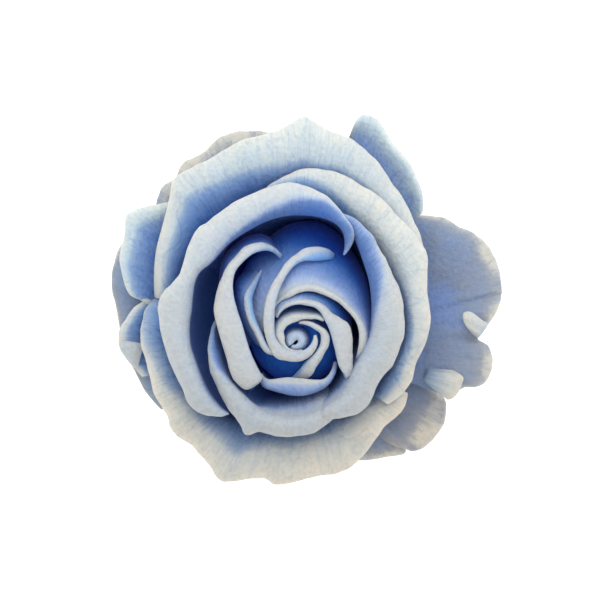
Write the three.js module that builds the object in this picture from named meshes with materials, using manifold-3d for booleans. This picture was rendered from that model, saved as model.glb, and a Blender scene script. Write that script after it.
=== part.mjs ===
// Head of a standard rose, cut just below the hip and standing on its cut stub and its sepals.
// Millimetres, +Z up. The stub stands on z = 0 and the outline's middle is over the origin.
// Two solids: the bloom, petals in layers round a leaning bud, and the green calyx under it.

import * as THREE from "three";
import { mergeVertices } from "three/addons/utils/BufferGeometryUtils.js";
import Module from "manifold-3d";

// Driving dimensions
const stemAxis = { x: -0.7, y: -2.8 };
const budAxis = { x: -1.5, y: -6.5 };
const seatHeight = 11.4;
const budTop = 42;
const petalThickness = 0.7;
const sepalThickness = 0.9;
const calyxGap = 0.3;
const coreBase = seatHeight + calyxGap;

// A petal is a fan of ribs, one for each row of "ribs", listed across its width.
// Each rib names two points round the bud's axis, as seen from above: where the wall turns
// over into the lip, then the free edge, both as angle in degrees and radius, then a lift.
// root: radius and height where the rib starts; bulge: how far the wall swells out;
// lean: extra swelling towards +Y, the side that the bud leans away from;
// spread: how far the wall comes from inside the turn; top: height of the lip's crest;
// fall: how far the crest sinks at both sides; rise and roll: drop from the crest to the turn
// and to the free edge; open: 0 for a lip rolled outwards, 1 for a rim that stands up;
// drop: how soon the wall falls from the turn; held: share of a rib's lift that the turn takes
// too. Bulge and spread can go through several values from the first rib to the last.
// steps: places along a rib, up to 1 on the wall, where it leaves the core, and up to 2 on the lip.
const petals = [
  {
    name: "heart fold", root: [1.2, 24], bulge: 1.2, lean: 0, spread: -1.2,
    top: 41.3, fall: 0, rise: 1.1, roll: 0.25, open: 0, steps: [0.62, 1, 1.5, 2],
    ribs: [
      [-138, 1.35, -140, 0.85, -0.3], [-120, 1.4, -118, 0.7, 0], [-90, 1.3, -90, 0.4, 0],
      [-50, 1.35, -50, 0.22, 0], [0, 1.4, 0, 0.2, 0], [50, 1.45, 50, 0.2, 0],
      [100, 1.6, 100, 0.2, 0], [150, 1.8, 150, 0.25, 0], [190, 1.75, 186, 0.4, 0],
      [212, 1.6, 206, 0.7, -0.1],
    ],
  },
  {
    name: "first wrap", root: [1.8, 22], bulge: 1.8, lean: 0.6, spread: -2.5,
    top: 42, fall: 0.3, rise: 0.5, roll: 0.25, open: 0, steps: [0.55, 1, 1.5, 2],
    ribs: [
      [300, 1.7, 300, 1.5, -0.3], [275, 1.62, 275, 1.42, -0.1], [248, 1.68, 248, 1.5, 0],
      [226, 2.1, 220, 1.75, 0], [200, 2.5, 198, 1.9, 0], [178, 3, 178, 2, 0],
      [162, 3.6, 160, 2.1, 0], [146, 3.85, 144, 2.6, 0], [125, 4.05, 125, 2.9, 0],
      [107, 4.15, 107, 3, 0], [90, 4.25, 90, 3.2, 0], [75, 4.4, 75, 3.6, 0],
      [60, 4.8, 60, 4.1, 0], [37, 5.6, 38, 5.2, -0.2],
    ],
  },
  {
    name: "second wrap", root: [2, 22], bulge: 1.8, lean: 0, spread: -3.5,
    top: 41.9, fall: 0.8, rise: 0.7, roll: 0.4, open: 0, steps: [0.5, 1, 1.5, 2],
    ribs: [
      [85, 2.9, 84, 3.25, 0], [68, 3, 66, 3.6, 0], [50, 3.2, 50, 3.95, 0], [33, 3.5, 36, 4.3, 0],
      [20, 3.95, 22, 4.9, 0], [5, 3.9, 8, 5.2, 0], [-10, 3.75, -8, 5.1, 0],
      [-25, 3.55, -22, 4.8, 0], [-42, 3.4, -40, 4.9, 0], [-57, 3.45, -55, 5.2, 0],
      [-80, 4.2, -70, 6.05, -0.8], [-98, 5.8, -87, 6.9, -2.2],
    ],
  },
  {
    name: "curling lip", root: [2.6, 20], bulge: 2.2, lean: 0, spread: -1.5,
    top: 42.6, fall: 0, rise: 0.5, roll: 0.4, open: 0, steps: [0.3, 0.7, 1, 1.5, 2],
    ribs: [
      [66.5, 14.6, 67, 15.1, -3.6], [70, 13.9, 73, 15.6, -2], [78, 13.2, 84, 15, -1.1],
      [86, 12.9, 91, 13.9, -0.6], [93, 12, 98, 12.7, -0.3], [108, 9, 115, 9.7, 0],
      [116, 7.6, 125, 8.4, 0.4], [137, 5.1, 146, 6.4, 0.4], [165, 3.75, 167, 5.2, 0.2],
      [180, 3.2, 178, 4.8, 0.1], [200, 2.6, 195, 4.4, 0], [222, 2.2, 216, 4.3, 0],
      [240, 1.8, 238, 3.6, 0], [260, 1.7, 260, 3.3, 0], [280, 1.7, 280, 3.2, -0.1],
      [300, 1.8, 300, 3.1, -0.2], [322, 2, 322, 3.1, -0.3], [345, 2.3, 345, 3.3, -0.4],
      [362, 2.6, 362, 3.3, -0.6], [378, 2.9, 379, 3.15, -1.2],
    ],
  },
  {
    name: "right band", root: [3.2, 20], bulge: 2.4, lean: 1, spread: [-8, -8, -8, -8, -6, -2.5, 0],
    top: 42.4, fall: 0.6, rise: 0.6, roll: 0.6, open: 0, drop: 0.12, steps: [0.3, 0.7, 1, 1.5, 2],
    ribs: [
      [131, 4.9, 131, 5.3, -1], [116, 5.5, 116, 5.9, -0.6], [102, 5.8, 102, 6.3, -0.3],
      [88, 6, 88, 6.6, 0], [75, 6, 75, 6.85, 0], [51, 6, 51, 7.1, 0], [27, 5.5, 27, 8, 0],
      [15, 5.5, 17, 8.7, 0], [0, 5.7, 4, 8.85, 0], [-10, 6.1, -10, 9.05, 0],
      [-28, 7.5, -28, 10, 0], [-35, 9.4, -35.5, 10, -0.2], [-37, 9.7, -37.5, 9.9, -1.6],
    ],
  },
  {
    name: "left strip", root: [3.6, 20], bulge: 2.6, lean: 1.2,
    spread: [-3, -8.5, -7.5, -3.5, -1, 0],
    top: 42.2, fall: 1.2, rise: 0.5, roll: 0.5, open: 0, drop: 0.15, steps: [0.3, 0.7, 1, 1.5, 2],
    ribs: [
      [117, 12.4, 116, 12.9, -3.4], [136, 10, 138, 11.2, -0.9], [143, 8.9, 146, 10.2, -0.3],
      [164, 6.1, 168, 7.1, 0], [186, 4.9, 191, 5.75, 0], [199, 4.2, 202, 5.2, -0.1],
      [212, 3.4, 214, 4.1, -0.4], [226, 2.6, 228, 3.2, -1.2],
    ],
  },
  {
    name: "wide back", root: [4.6, 18], bulge: [5, 6, 11.5, 10, 5.5, 5, 5], lean: 2,
    spread: [-10, -11, -14, -12, -5, -1, 0],
    top: 42, fall: 0, rise: 0.5, roll: 0.3, open: 0, drop: 0.17, steps: [0.2, 0.45, 0.7, 0.87, 1, 2],
    ribs: [
      [186, 4.8, 186, 4.2, -7], [165, 4.8, 165, 4.3, -2.2], [150, 5.4, 150, 4.9, -1.4],
      [137, 6.1, 137, 5.6, -1.3], [115, 7.2, 115, 6.8, -1], [100, 8, 100, 7.1, -0.2],
      [92, 8.6, 90, 7.6, 0], [71, 9.4, 70, 8.4, 0], [60, 9.5, 57, 8.6, 0], [49, 9.7, 44, 9, 0],
      [28, 10.3, 21, 9.8, 0], [17, 10.8, 10, 10, 0], [5, 11.1, 0, 9.9, 0],
      [-6, 10.9, -9, 9.8, -0.4], [-14, 10.4, -16, 9.7, -1.2], [-24, 10, -24, 9.6, -3],
    ],
  },
  {
    name: "under band", root: [4.2, 19], bulge: 2.4, lean: 0, spread: 0,
    top: 41.4, fall: 1, rise: 0.8, roll: 0.3, open: 0, steps: [0.4, 1, 1.5, 2],
    ribs: [
      [224, 8.6, 222, 7.6, -1], [234, 9, 231, 7.7, -0.3], [243, 8.75, 240, 7, 0],
      [264, 8.65, 262, 5.8, 0], [278, 8.7, 278, 5.95, 0], [304, 8.5, 302, 7.3, 0],
      [313, 8.2, 311, 7.4, -0.3], [332, 7.2, 331, 6.7, -1.6],
    ],
  },
  {
    name: "left wing", root: [4.8, 18.5], bulge: 3, lean: 1.5,
    spread: [-2, -5.5, -8, -8.5, -7, -7, -7, -7, -7],
    top: 43.2, fall: 0.6, rise: 0.6, roll: 0.6, open: 0, drop: 0.26, steps: [0.2, 0.6, 1, 1.5, 2],
    ribs: [
      [101, 13.4, 100, 14, -3.4], [105, 14.8, 104.5, 15.7, -1.8], [110, 15.5, 110.5, 16.8, -0.6],
      [117, 15.7, 119, 17.2, 0], [131, 15, 134, 16.3, 0], [138, 13.9, 141, 15.6, 0],
      [152, 10.9, 157, 14.5, 0], [162, 9.3, 165, 13.6, 0], [190, 7.7, 188, 11.75, 0],
      [214, 7.6, 212, 11.8, -0.1], [224, 7.9, 224, 11.2, -0.3], [226, 8.2, 226.5, 9.8, -0.5],
      [227, 8.6, 227.5, 9, -1.2],
    ],
  },
  {
    name: "lower cup", root: [5.6, 17], bulge: 1.6, lean: 0,
    spread: [4, 3, 1.5, -0.5, 2.5, 6, 6.5, 6],
    top: 43.6, fall: 1.6, rise: 2, roll: 1.6, open: 0, steps: [0.04, 0.45, 1, 1.5, 2],
    ribs: [
      [166, 13.2, 166, 13.6, -3.4], [176, 13.2, 177, 14.1, -1.4], [190, 12.9, 189, 14.3, -0.2],
      [202, 12.6, 202, 14.7, 0], [214, 12.3, 214, 14.9, 0], [234, 12.2, 235, 16.1, 0],
      [240, 12.3, 242, 17, -0.3], [246, 12.3, 247, 15.7, 0], [256, 12.2, 256, 15.6, 0],
      [268, 12, 268, 15.1, 0], [279, 11.7, 279, 14.9, 0], [288, 11.3, 288, 14.3, 0],
      [303, 11.3, 303, 13.2, -1.6],
    ],
  },
  {
    name: "right cup", root: [5.6, 17], bulge: 2.8, lean: 0.6, spread: [3, 3.5, 2, -1, -1],
    top: 44.2, fall: 0.8, rise: 2.4, roll: 2.6, open: 0, steps: [0.04, 0.45, 1, 1.5, 2],
    ribs: [
      [284, 12.3, 284, 12.8, -1], [291, 11.5, 291, 13.3, -0.3], [307, 11, 307, 14.9, 0],
      [316, 10.7, 316, 15.2, 0], [338, 10.2, 337, 14.8, 0], [349, 10.6, 347, 15.8, 0],
      [359, 11.3, 357, 16.6, 0], [368, 12, 367, 17.3, 0], [378, 12.7, 378, 17.9, 0],
      [400, 15.1, 400, 19, 0], [417, 18, 416, 20.9, -0.2], [425, 19.9, 424, 21.5, -1],
      [432, 21, 431, 21.8, -2.2],
    ],
  },
  {
    name: "upper cup", root: [5.6, 16.4], bulge: 3.3, lean: 0.6, spread: -0.7,
    top: 44.6, fall: 0.6, rise: 2.5, roll: 2.6, open: 0, steps: [0.04, 0.45, 1, 1.5, 2],
    ribs: [
      [61.5, 15.6, 61, 16, -1.8], [63, 17, 60.5, 17.9, -1], [66, 18.6, 62.5, 19.6, -0.4],
      [70, 19.6, 67, 20.9, 0], [76, 20.1, 73, 22.3, 0], [82, 20.2, 80, 23.9, 0],
      [88, 20.2, 87, 24.9, 0], [95, 20.15, 94, 25.3, 0], [103, 19.9, 102, 25, 0],
      [111, 19.5, 111, 24.5, 0], [126, 19, 126, 23.9, 0], [132, 18.7, 131, 24, 0],
      [144, 19.1, 143, 22.3, 0], [149, 19, 149.5, 21.7, -0.1], [159, 18, 161, 22.9, -0.5],
      [164, 17.6, 166, 23, -0.6], [176, 17.3, 177, 21.6, -0.8], [184, 17, 185, 20.9, -0.8],
      [207, 16.25, 207, 20, -0.8], [214, 16.2, 213, 19.75, -0.8], [221, 16.1, 219, 18.7, -1.2],
      [227, 15.9, 225, 17.1, -1.8],
    ],
  },
  {
    name: "second ring", root: [6, 15.2], bulge: 3.6, lean: 0.6, spread: 0.2,
    top: 40.8, fall: 1.8, rise: 4.2, roll: 2.6, open: 0.1, steps: [0.04, 0.45, 1, 1.5, 2],
    ribs: [
      [104, 22.6, 103, 24.4, -1.2], [97, 22.8, 98, 25.8, -0.4], [90, 22.8, 91, 27.1, 0],
      [83, 22.4, 84, 27.85, 0], [76, 21.8, 77, 27.7, 0], [62, 20.6, 62, 26.7, 0],
      [46, 19.2, 46, 25.6, 0], [34, 18.2, 34, 25.2, 0], [19, 17.5, 19, 22, 0],
      [9, 17.1, 9, 21.6, 0], [0, 16.6, 0, 20.6, 0], [-18, 15.2, -18, 19.4, 0],
      [-27, 14.9, -27, 18.7, -0.4], [-35, 15, -35, 17.6, -1.2],
    ],
  },
  {
    name: "back outer", root: [6.4, 14.4], bulge: 4.2, lean: 0.6, spread: 1,
    top: 37.6, fall: 2.4, rise: 5, roll: 2.4, open: 0.15, steps: [0.04, 0.45, 1, 1.5, 2],
    ribs: [
      [35, 20.6, 35, 24.8, -0.8], [42, 21.6, 42, 26.3, -0.2], [58, 23, 58, 29.4, 0],
      [65, 23.5, 65, 31.2, 0], [72, 24, 72, 33, 0], [84, 24.4, 84, 34.7, 0],
      [88, 24.4, 88, 36.1, -0.2], [92, 24.4, 92, 34.7, 0], [106, 23.9, 106, 33.2, 0],
      [114, 23.6, 114, 32.6, 0], [127, 22.9, 127, 32.8, 0], [139, 22.4, 139, 28.6, 0],
      [147, 21.9, 147, 27, 0], [155, 21.3, 155, 25.4, -0.4], [163, 20.6, 163, 24, -1.6],
    ],
  },
  {
    name: "front outer", root: [6.4, 14.2], bulge: 4.2, lean: 0, spread: 1.2,
    top: 37, fall: 2.2, rise: 4.6, roll: 3, open: 0.1, steps: [0.04, 0.45, 1, 1.5, 2],
    ribs: [
      [163, 20.4, 163, 23.6, -2.4], [169, 20.2, 169, 25, -0.8], [176, 19.9, 176, 25.1, 0],
      [184, 19.5, 184, 24.8, 0], [203, 18.3, 203, 24.3, 0], [217, 17.4, 217, 24.6, 0],
      [233, 15.9, 233, 24.1, 0], [239, 15.3, 239, 25.3, 0], [244, 14.8, 244, 25.1, 0],
      [256, 14, 256, 22.7, 0], [263, 13.7, 263, 23.2, 0], [282, 13.3, 282, 22, 0],
      [291, 13.1, 291, 22, 0], [300, 13.1, 300, 21.2, 0], [318, 13.9, 318, 19.8, 0],
      [327, 14.6, 327, 20.1, -0.3], [335, 15.5, 335, 19.5, -1.4],
    ],
  },
  {
    name: "tall guard", root: [6.6, 13.4], bulge: 5, lean: 0, spread: 3,
    top: 33.6, fall: 1, rise: 3.8, roll: 0.8, open: 0.9, steps: [0.04, 0.45, 1, 1.5, 2],
    ribs: [
      [78, 28, 76, 33, -2.2], [75.4, 30.6, 75, 36.7, 0], [72.6, 31, 73.3, 37.9, 0.2],
      [69, 30.4, 69.6, 37.7, 0.2], [57, 28.2, 57.6, 33.75, 0], [51, 27, 50.8, 31.5, -0.4],
      [46, 25.6, 45.6, 28.8, -2],
    ],
  },
  {
    name: "right guard", root: [6.6, 13], bulge: 5.4, lean: 0, spread: 3.4,
    top: 30.6, fall: 1, rise: 3, roll: 1.4, open: 0.6, held: 0.1, steps: [0.04, 0.45, 1, 1.5, 2],
    ribs: [
      [49, 23, 47.5, 27.2, -1.6], [45, 23, 45.5, 28.4, -0.8], [39, 22.6, 39.4, 30.9, 0.2],
      [32, 22.2, 32.2, 33.1, 0.5], [25.5, 21.6, 25.7, 34.3, 0.3], [18, 21, 17.6, 34.4, 0],
      [14.5, 20.6, 14.6, 34, 0.3], [12.5, 20.4, 13, 33.7, -0.3], [8.8, 20, 8.8, 32.5, 0.6],
      [3, 19.4, 3.5, 30.2, 0.2], [1, 19, 1.1, 29.2, -0.6], [-1.5, 18.8, -1.2, 30.5, 0.2],
      [-4, 18.6, -3.8, 31.4, 0.4], [-10, 18, -9.7, 31.5, 0.3], [-12.5, 17.8, -12.6, 30.8, 0.2],
      [-14.5, 17.6, -14.4, 29.6, 0], [-16, 17.4, -15.4, 28, -0.6], [-20, 17, -20.2, 26.2, -1.2],
    ],
  },
  {
    name: "folded rim", root: [6.8, 12.9], bulge: 5.6, lean: 0, spread: 2.6,
    top: 32, fall: 0.6, rise: 0.8, roll: 0.3, open: 0, steps: [0.5, 1, 2],
    ribs: [
      [5, 30.6, 9.4, 28.4, -0.2], [4.3, 30.4, 9.9, 27.3, 0.1], [3.5, 30, 8.6, 26.8, 0.2],
      [2, 29.4, 4, 27.5, 0], [1.2, 29, 1.8, 28.5, -0.8],
    ],
  },
  {
    name: "turned rim", root: [6.8, 12.9], bulge: 5.6, lean: 0, spread: 2.6,
    top: 31.1, fall: 0.5, rise: 0.5, roll: 0.5, open: 0, steps: [0.5, 1, 2],
    ribs: [
      [-11.5, 23.3, -10.6, 25.2, -0.6], [-13, 21.8, -12, 27.2, 0], [-17, 21.5, -18, 27, 0.2],
      [-19.8, 24, -21.3, 26, -0.2],
    ],
  },
  {
    name: "lower right guard", root: [6.8, 12.7], bulge: 5.8, lean: 0, spread: 3.8,
    top: 27.4, fall: 1, rise: 4.4, roll: 2, open: 0.3, steps: [0.04, 0.45, 1, 1.5, 2],
    ribs: [
      [-17, 16.6, -18.5, 23.5, -1], [-21, 16.8, -21.5, 25.6, 0], [-25, 17, -25, 26.5, 0.2],
      [-33, 17, -33, 27.15, 0], [-41, 16.8, -41, 26.6, 0], [-43.5, 16.6, -43.8, 25.6, 0],
      [-50, 15.8, -49, 22.8, -1],
    ],
  },
  {
    name: "front guard", root: [6.8, 12.4], bulge: 6, lean: 0, spread: 4,
    top: 25.4, fall: 1, rise: 4, roll: 2, open: 0.3, steps: [0.04, 0.45, 1, 1.5, 2],
    ribs: [
      [-42, 16.2, -43, 23.6, -0.6], [-45, 16.2, -45.2, 24.8, 0], [-46.8, 16.1, -46.8, 25.1, 0],
      [-62.3, 15.2, -62.3, 21.7, 0], [-76, 14.4, -76, 19.6, -1.4],
    ],
  },
  {
    name: "back guard", root: [6.8, 13], bulge: 5.4, lean: 0, spread: 3.4,
    top: 31.4, fall: 2.4, rise: 4.6, roll: 1.6, open: 0.4, steps: [0.04, 0.45, 1, 1.5, 2],
    ribs: [
      [88, 25, 90, 31, -1], [94, 25.6, 95, 32.8, 0], [99, 25.8, 99, 34, 0],
      [105, 25.8, 105, 35, 0], [111, 25.6, 111, 34.85, 0], [122, 25, 122, 33.9, 0],
      [127, 24.6, 127, 32.6, 0], [133, 24, 132, 30.6, -0.8],
    ],
  },
  {
    name: "corner guard", root: [6.8, 12.6], bulge: 5.6, lean: 0, spread: 3.6,
    top: 28.8, fall: 1.6, rise: 4.2, roll: 1.6, open: 0.4, steps: [0.04, 0.45, 1, 1.5, 2],
    ribs: [
      [120, 24.2, 121, 30.6, -0.6], [125, 24.4, 125, 32.2, 0], [130, 24.2, 130, 33, 0],
      [134, 23.8, 134, 32.2, 0], [139, 23.4, 139, 30.4, 0], [145, 22.8, 145, 28.4, -0.8],
    ],
  },
  {
    name: "left guard", root: [6.6, 13.2], bulge: 5.2, lean: 0, spread: 3.2,
    top: 33.4, fall: 1.2, rise: 4, roll: 0.9, open: 0.85, steps: [0.04, 0.45, 1, 1.5, 2],
    ribs: [
      [128, 23.6, 130, 29.2, -1.2], [132, 23.6, 133.3, 30.5, -0.3],
      [141.5, 23.2, 141.6, 33.7, 0.2], [144, 22.9, 143.8, 34, 0.2], [157.5, 21.6, 156.8, 30.9, 0],
      [166.5, 20.8, 164.4, 27.9, 0], [170, 20.5, 164.2, 25.6, -0.5],
      [171.5, 20.4, 163.2, 24.4, -1.6],
    ],
  },
  {
    name: "pinched guard", root: [6.6, 12.9], bulge: 5.2, lean: 0, spread: 3.2,
    top: 31.8, fall: 1.2, rise: 4.2, roll: 0.9, open: 0.7, steps: [0.04, 0.45, 1, 1.5, 2],
    ribs: [
      [161, 20.8, 162.6, 24.3, -0.6], [169, 20.8, 168.7, 26.8, 0.1],
      [176, 20.8, 175.9, 28.5, 0.2], [179.7, 20.6, 179.7, 28.7, 0.1], [183, 20.4, 182.8, 28.4, 0],
      [189.5, 20, 189.6, 26.5, -0.6], [193, 19.8, 193, 25.6, -1.4],
    ],
  },
  {
    name: "side fold", root: [6.8, 12.8], bulge: 5.4, lean: 0, spread: 2.6,
    top: 31.6, fall: 0.4, rise: 0.8, roll: 0.5, open: 0, steps: [0.5, 1, 2],
    ribs: [
      [179.6, 28.6, 181, 24.6, 0], [186.6, 27.2, 186.8, 25.4, 0], [189, 26.4, 189, 25.8, -0.5],
    ],
  },
  {
    name: "under guard", root: [6.8, 12.5], bulge: 5.8, lean: 0, spread: 3.8,
    top: 27.6, fall: 1.8, rise: 4.4, roll: 1.8, open: 0.4, steps: [0.04, 0.45, 1, 1.5, 2],
    ribs: [
      [146, 23.4, 147.5, 31.6, -0.4], [152, 23.4, 152, 32.3, 0], [158, 23.2, 158, 32, 0],
      [164, 22.8, 164, 31, 0], [170, 22.4, 170, 29.6, 0], [184, 21.2, 184, 27.7, 0],
      [199, 20, 199, 25.6, -0.2], [207, 19.4, 207, 24.5, -0.8],
    ],
  },
];

// Shape of every rib. The lip drops no more than these shares of its width.
const steepestRise = 0.8;
const steepestRoll = 0.6;
// The wall is pulled out lowest at this share of its height, to this share of its top radius.
const swellPlace = 0.25;
const swellShare = 0.75;
// The wall falls this share of its height, from the turn, unless a petal gives its own.
const wallDrop = 0.333;
// Places across the lip where a rolled lip turns over, where a rim that stands up is
// pulled upright, and where the lip starts down to its free edge.
const rolledPlace = 0.08;
const uprightPlace = 0.7;
const shoulderPlace = 0.75;

const radians = Math.PI / 180;

function onAxis(height) {
  const share = (height - seatHeight) / (budTop - seatHeight);
  return {
    x: stemAxis.x + (budAxis.x - stemAxis.x) * share,
    y: stemAxis.y + (budAxis.y - stemAxis.y) * share,
  };
}

function around(axis, angle, radius, height) {
  const turn = angle * radians;
  return new THREE.Vector3(
    axis.x + radius * Math.cos(turn),
    axis.y + radius * Math.sin(turn),
    height,
  );
}

// A value that stays the same across a petal, or goes evenly through a few.
function level(values, share) {
  if (typeof values === "number") return values;
  const place = share * (values.length - 1);
  const first = Math.min(Math.floor(place), values.length - 2);
  return values[first] + (values[first + 1] - values[first]) * (place - first);
}

// One rib: a wall curve from the root up to the turn, then a lip curve over to the free edge.
function rib(petal, index) {
  const [turnAngle, turnRadius, edgeAngle, edgeRadius, lift] = petal.ribs[index];
  const { held = 1, drop = wallDrop } = petal;
  const across = 2 * index / (petal.ribs.length - 1) - 1;
  const crest = petal.top + lift - petal.fall * across ** 4;
  const edge = around(budAxis, edgeAngle, edgeRadius, 0);
  const turn = around(budAxis, turnAngle, turnRadius, 0);
  const width = Math.hypot(edge.x - turn.x, edge.y - turn.y);
  const rise = Math.min(petal.rise, steepestRise * width);
  const roll = Math.min(petal.roll, steepestRoll * width);
  turn.z = crest - (1 - held) * lift - rise;
  edge.z = crest - roll;

  const [rootRadius, rootHeight] = petal.root;
  const wallHeight = turn.z - rootHeight;
  const swellHeight = rootHeight + swellPlace * wallHeight;
  const upSide = Math.max(0, Math.sin(turnAngle * radians));
  const share = index / (petal.ribs.length - 1);
  const swell = swellShare * turnRadius + level(petal.bulge, share) + petal.lean * upSide;
  const inside = turnRadius - level(petal.spread, share);
  const wall = new THREE.CubicBezierCurve3(
    around(onAxis(rootHeight), turnAngle, rootRadius, rootHeight),
    around(onAxis(swellHeight), turnAngle, swell, swellHeight),
    around(budAxis, turnAngle, inside, turn.z - drop * wallHeight),
    turn,
  );
  const rolled = turn.clone().lerp(edge, rolledPlace).setZ(crest + rise / 3);
  const upright = turn.clone().lerp(edge, uprightPlace).setZ(turn.z);
  const lip = new THREE.CubicBezierCurve3(
    turn,
    rolled.lerp(upright, petal.open),
    turn.clone().lerp(edge, shoulderPlace).setZ(crest + roll / 3),
    edge,
  );
  return { wall, lip };
}

// A closed sheet round a grid of points, split into triangles alike on both faces.
function sheet(grid, thickness) {
  const rows = grid.length;
  const columns = grid[0].length;
  const at = (i, j) => grid[Math.min(Math.max(i, 0), rows - 1)][Math.min(Math.max(j, 0), columns - 1)];
  const positions = [];
  for (const side of [0.5, -0.5]) {
    for (let i = 0; i < rows; i++) {
      for (let j = 0; j < columns; j++) {
        const along = at(i + 1, j).clone().sub(at(i - 1, j));
        const across = at(i, j + 1).clone().sub(at(i, j - 1));
        const normal = along.cross(across).normalize();
        positions.push(...at(i, j).clone().addScaledVector(normal, side * thickness));
      }
    }
  }
  const back = rows * columns;
  const corner = (i, j) => i * columns + j;
  const triangles = [];
  const quad = (a, b, c, d) => triangles.push(a, b, c, a, c, d);
  for (let i = 0; i + 1 < rows; i++) {
    for (let j = 0; j + 1 < columns; j++) {
      const [a, b, c, d] = [corner(i, j), corner(i + 1, j), corner(i + 1, j + 1), corner(i, j + 1)];
      quad(a, b, c, d);
      triangles.push(back + a, back + c, back + b, back + a, back + d, back + c);
    }
  }
  const rim = (a, b) => quad(b, a, back + a, back + b);
  for (let j = 0; j + 1 < columns; j++) {
    rim(corner(0, j + 1), corner(0, j));
    rim(corner(rows - 1, j), corner(rows - 1, j + 1));
  }
  for (let i = 0; i + 1 < rows; i++) {
    rim(corner(i, 0), corner(i + 1, 0));
    rim(corner(i + 1, columns - 1), corner(i, columns - 1));
  }
  const geometry = new THREE.BufferGeometry();
  geometry.setAttribute("position", new THREE.Float32BufferAttribute(positions, 3));
  geometry.setIndex(triangles);
  return geometry;
}

function petalSheet(petal) {
  const ribs = petal.ribs.map((row, index) => rib(petal, index));
  const grid = petal.steps.map((step) => ribs.map(({ wall, lip }) => (
    step <= 1 ? wall.getPoint(step) : lip.getPoint(step - 1)
  )));
  return sheet(grid, petalThickness);
}

// The core that the petals stand out of, leaning as the bud does.
const coreProfile = [
  [0, coreBase], [7.4, coreBase], [10, 14.5], [10.8, 19], [10.2, 25], [8.2, 30], [5.2, 33.5], [0, 35.5],
];
const coreSides = 18;

function core() {
  const profile = coreProfile.map(([radius, height]) => new THREE.Vector2(radius, height));
  const geometry = new THREE.LatheGeometry(profile, coreSides);
  geometry.rotateX(Math.PI / 2);
  const position = geometry.getAttribute("position");
  for (let i = 0; i < position.count; i++) {
    const centre = onAxis(position.getZ(i));
    position.setXY(i, position.getX(i) + centre.x, position.getY(i) + centre.y);
  }
  return geometry;
}

// Joining solids
const mergeDistance = 1e-3;
const wasm = await Module();
wasm.setup();

function solid(geometry) {
  const bare = geometry.clone();
  bare.deleteAttribute("normal");
  bare.deleteAttribute("uv");
  const merged = mergeVertices(bare, mergeDistance);
  const position = merged.getAttribute("position");
  const index = Array.from(merged.index.array);
  const triangles = [];
  let volume = 0;
  const [a, b, c] = [new THREE.Vector3(), new THREE.Vector3(), new THREE.Vector3()];
  for (let i = 0; i < index.length; i += 3) {
    const [p, q, r] = index.slice(i, i + 3);
    if (p === q || q === r || r === p) continue;
    triangles.push(p, q, r);
    a.fromBufferAttribute(position, p);
    b.fromBufferAttribute(position, q);
    c.fromBufferAttribute(position, r);
    volume += a.dot(b.cross(c));
  }
  if (volume < 0) triangles.reverse();
  return new wasm.Manifold(new wasm.Mesh({
    numProp: 3,
    vertProperties: Float32Array.from(position.array),
    triVerts: Uint32Array.from(triangles),
  }));
}

function asGeometry(manifold) {
  const mesh = manifold.getMesh();
  const geometry = new THREE.BufferGeometry();
  geometry.setAttribute("position", new THREE.BufferAttribute(mesh.vertProperties, 3));
  geometry.setIndex(new THREE.BufferAttribute(mesh.triVerts, 1));
  geometry.computeVertexNormals();
  return geometry;
}

// The joined body without the small hollows that crossing petals seal.
function join(geometries) {
  const whole = geometries.map(solid).reduce((body, next) => body.add(next));
  return whole.decompose().reduce((body, next) => (next.volume() > body.volume() ? next : body));
}

// Calyx: cut stub, swollen hip and five sepals bent down to the surface.
const stubRadius = 2.6;
const hipProfile = [
  [0, 0], [stubRadius, 0], [stubRadius, 3.2], [3.6, 4.2], [5.2, 6], [5.8, 8], [6.2, 9.6],
  [7.0, 10.6], [7.0, seatHeight], [0, seatHeight],
];
const hipSides = 14;
const sepalCount = 5;
const sepalTurn = 18;
const sepalReach = [17.6, 16.4, 17.2, 16.8, 17.0];
const sepalHalfWidth = [3.3, 3.0, 2.9, 2.5, 2.1, 1.5, 0.5];
const sepalCup = 0.7;
// Radius and height where a sepal leaves the hip, where it arches highest, and the radius
// where it comes down. Its tip is pressed flat on the surface by this much.
const sepalRoot = [5.6, 9.9];
const sepalArch = [13.5, 12.2];
const sepalFoot = 11.5;
const tipPress = 0.1;

function hip() {
  const profile = hipProfile.map(([radius, height]) => new THREE.Vector2(radius, height));
  const geometry = new THREE.LatheGeometry(profile, hipSides);
  geometry.rotateX(Math.PI / 2);
  geometry.translate(stemAxis.x, stemAxis.y, 0);
  return geometry;
}

function sepal(index) {
  const tipHeight = sepalThickness / 2 - tipPress;
  const path = new THREE.CubicBezierCurve3(
    new THREE.Vector3(sepalRoot[0], 0, sepalRoot[1]),
    new THREE.Vector3(sepalArch[0], 0, sepalArch[1]),
    new THREE.Vector3(sepalFoot, 0, tipHeight),
    new THREE.Vector3(sepalReach[index], 0, tipHeight),
  );
  const last = sepalHalfWidth.length - 1;
  const grid = sepalHalfWidth.map((half, row) => [-1, 0, 1].map((side) => {
    const along = row / last;
    const point = path.getPoint(along);
    const cup = sepalCup * side * side * (1 - along) ** 2;
    return new THREE.Vector3(point.x - cup, half * side, point.z - cup);
  }));
  const geometry = sheet(grid, sepalThickness);
  const position = geometry.getAttribute("position");
  for (let i = 0; i < position.count; i++) {
    position.setZ(i, Math.max(0, position.getZ(i)));
  }
  geometry.rotateZ((sepalTurn + index * 360 / sepalCount) * radians);
  geometry.translate(stemAxis.x, stemAxis.y, 0);
  return geometry;
}

const petalBlue = new THREE.MeshStandardMaterial({ color: "#a9c3e6", roughness: 0.72, metalness: 0 });
const calyxGreen = new THREE.MeshStandardMaterial({ color: "#6f8a4e", roughness: 0.6, metalness: 0 });

const rose = new THREE.Group();

const bloom = new THREE.Mesh(asGeometry(join([core(), ...petals.map(petalSheet)])), petalBlue);
bloom.name = "bloom";
rose.add(bloom);

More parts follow.
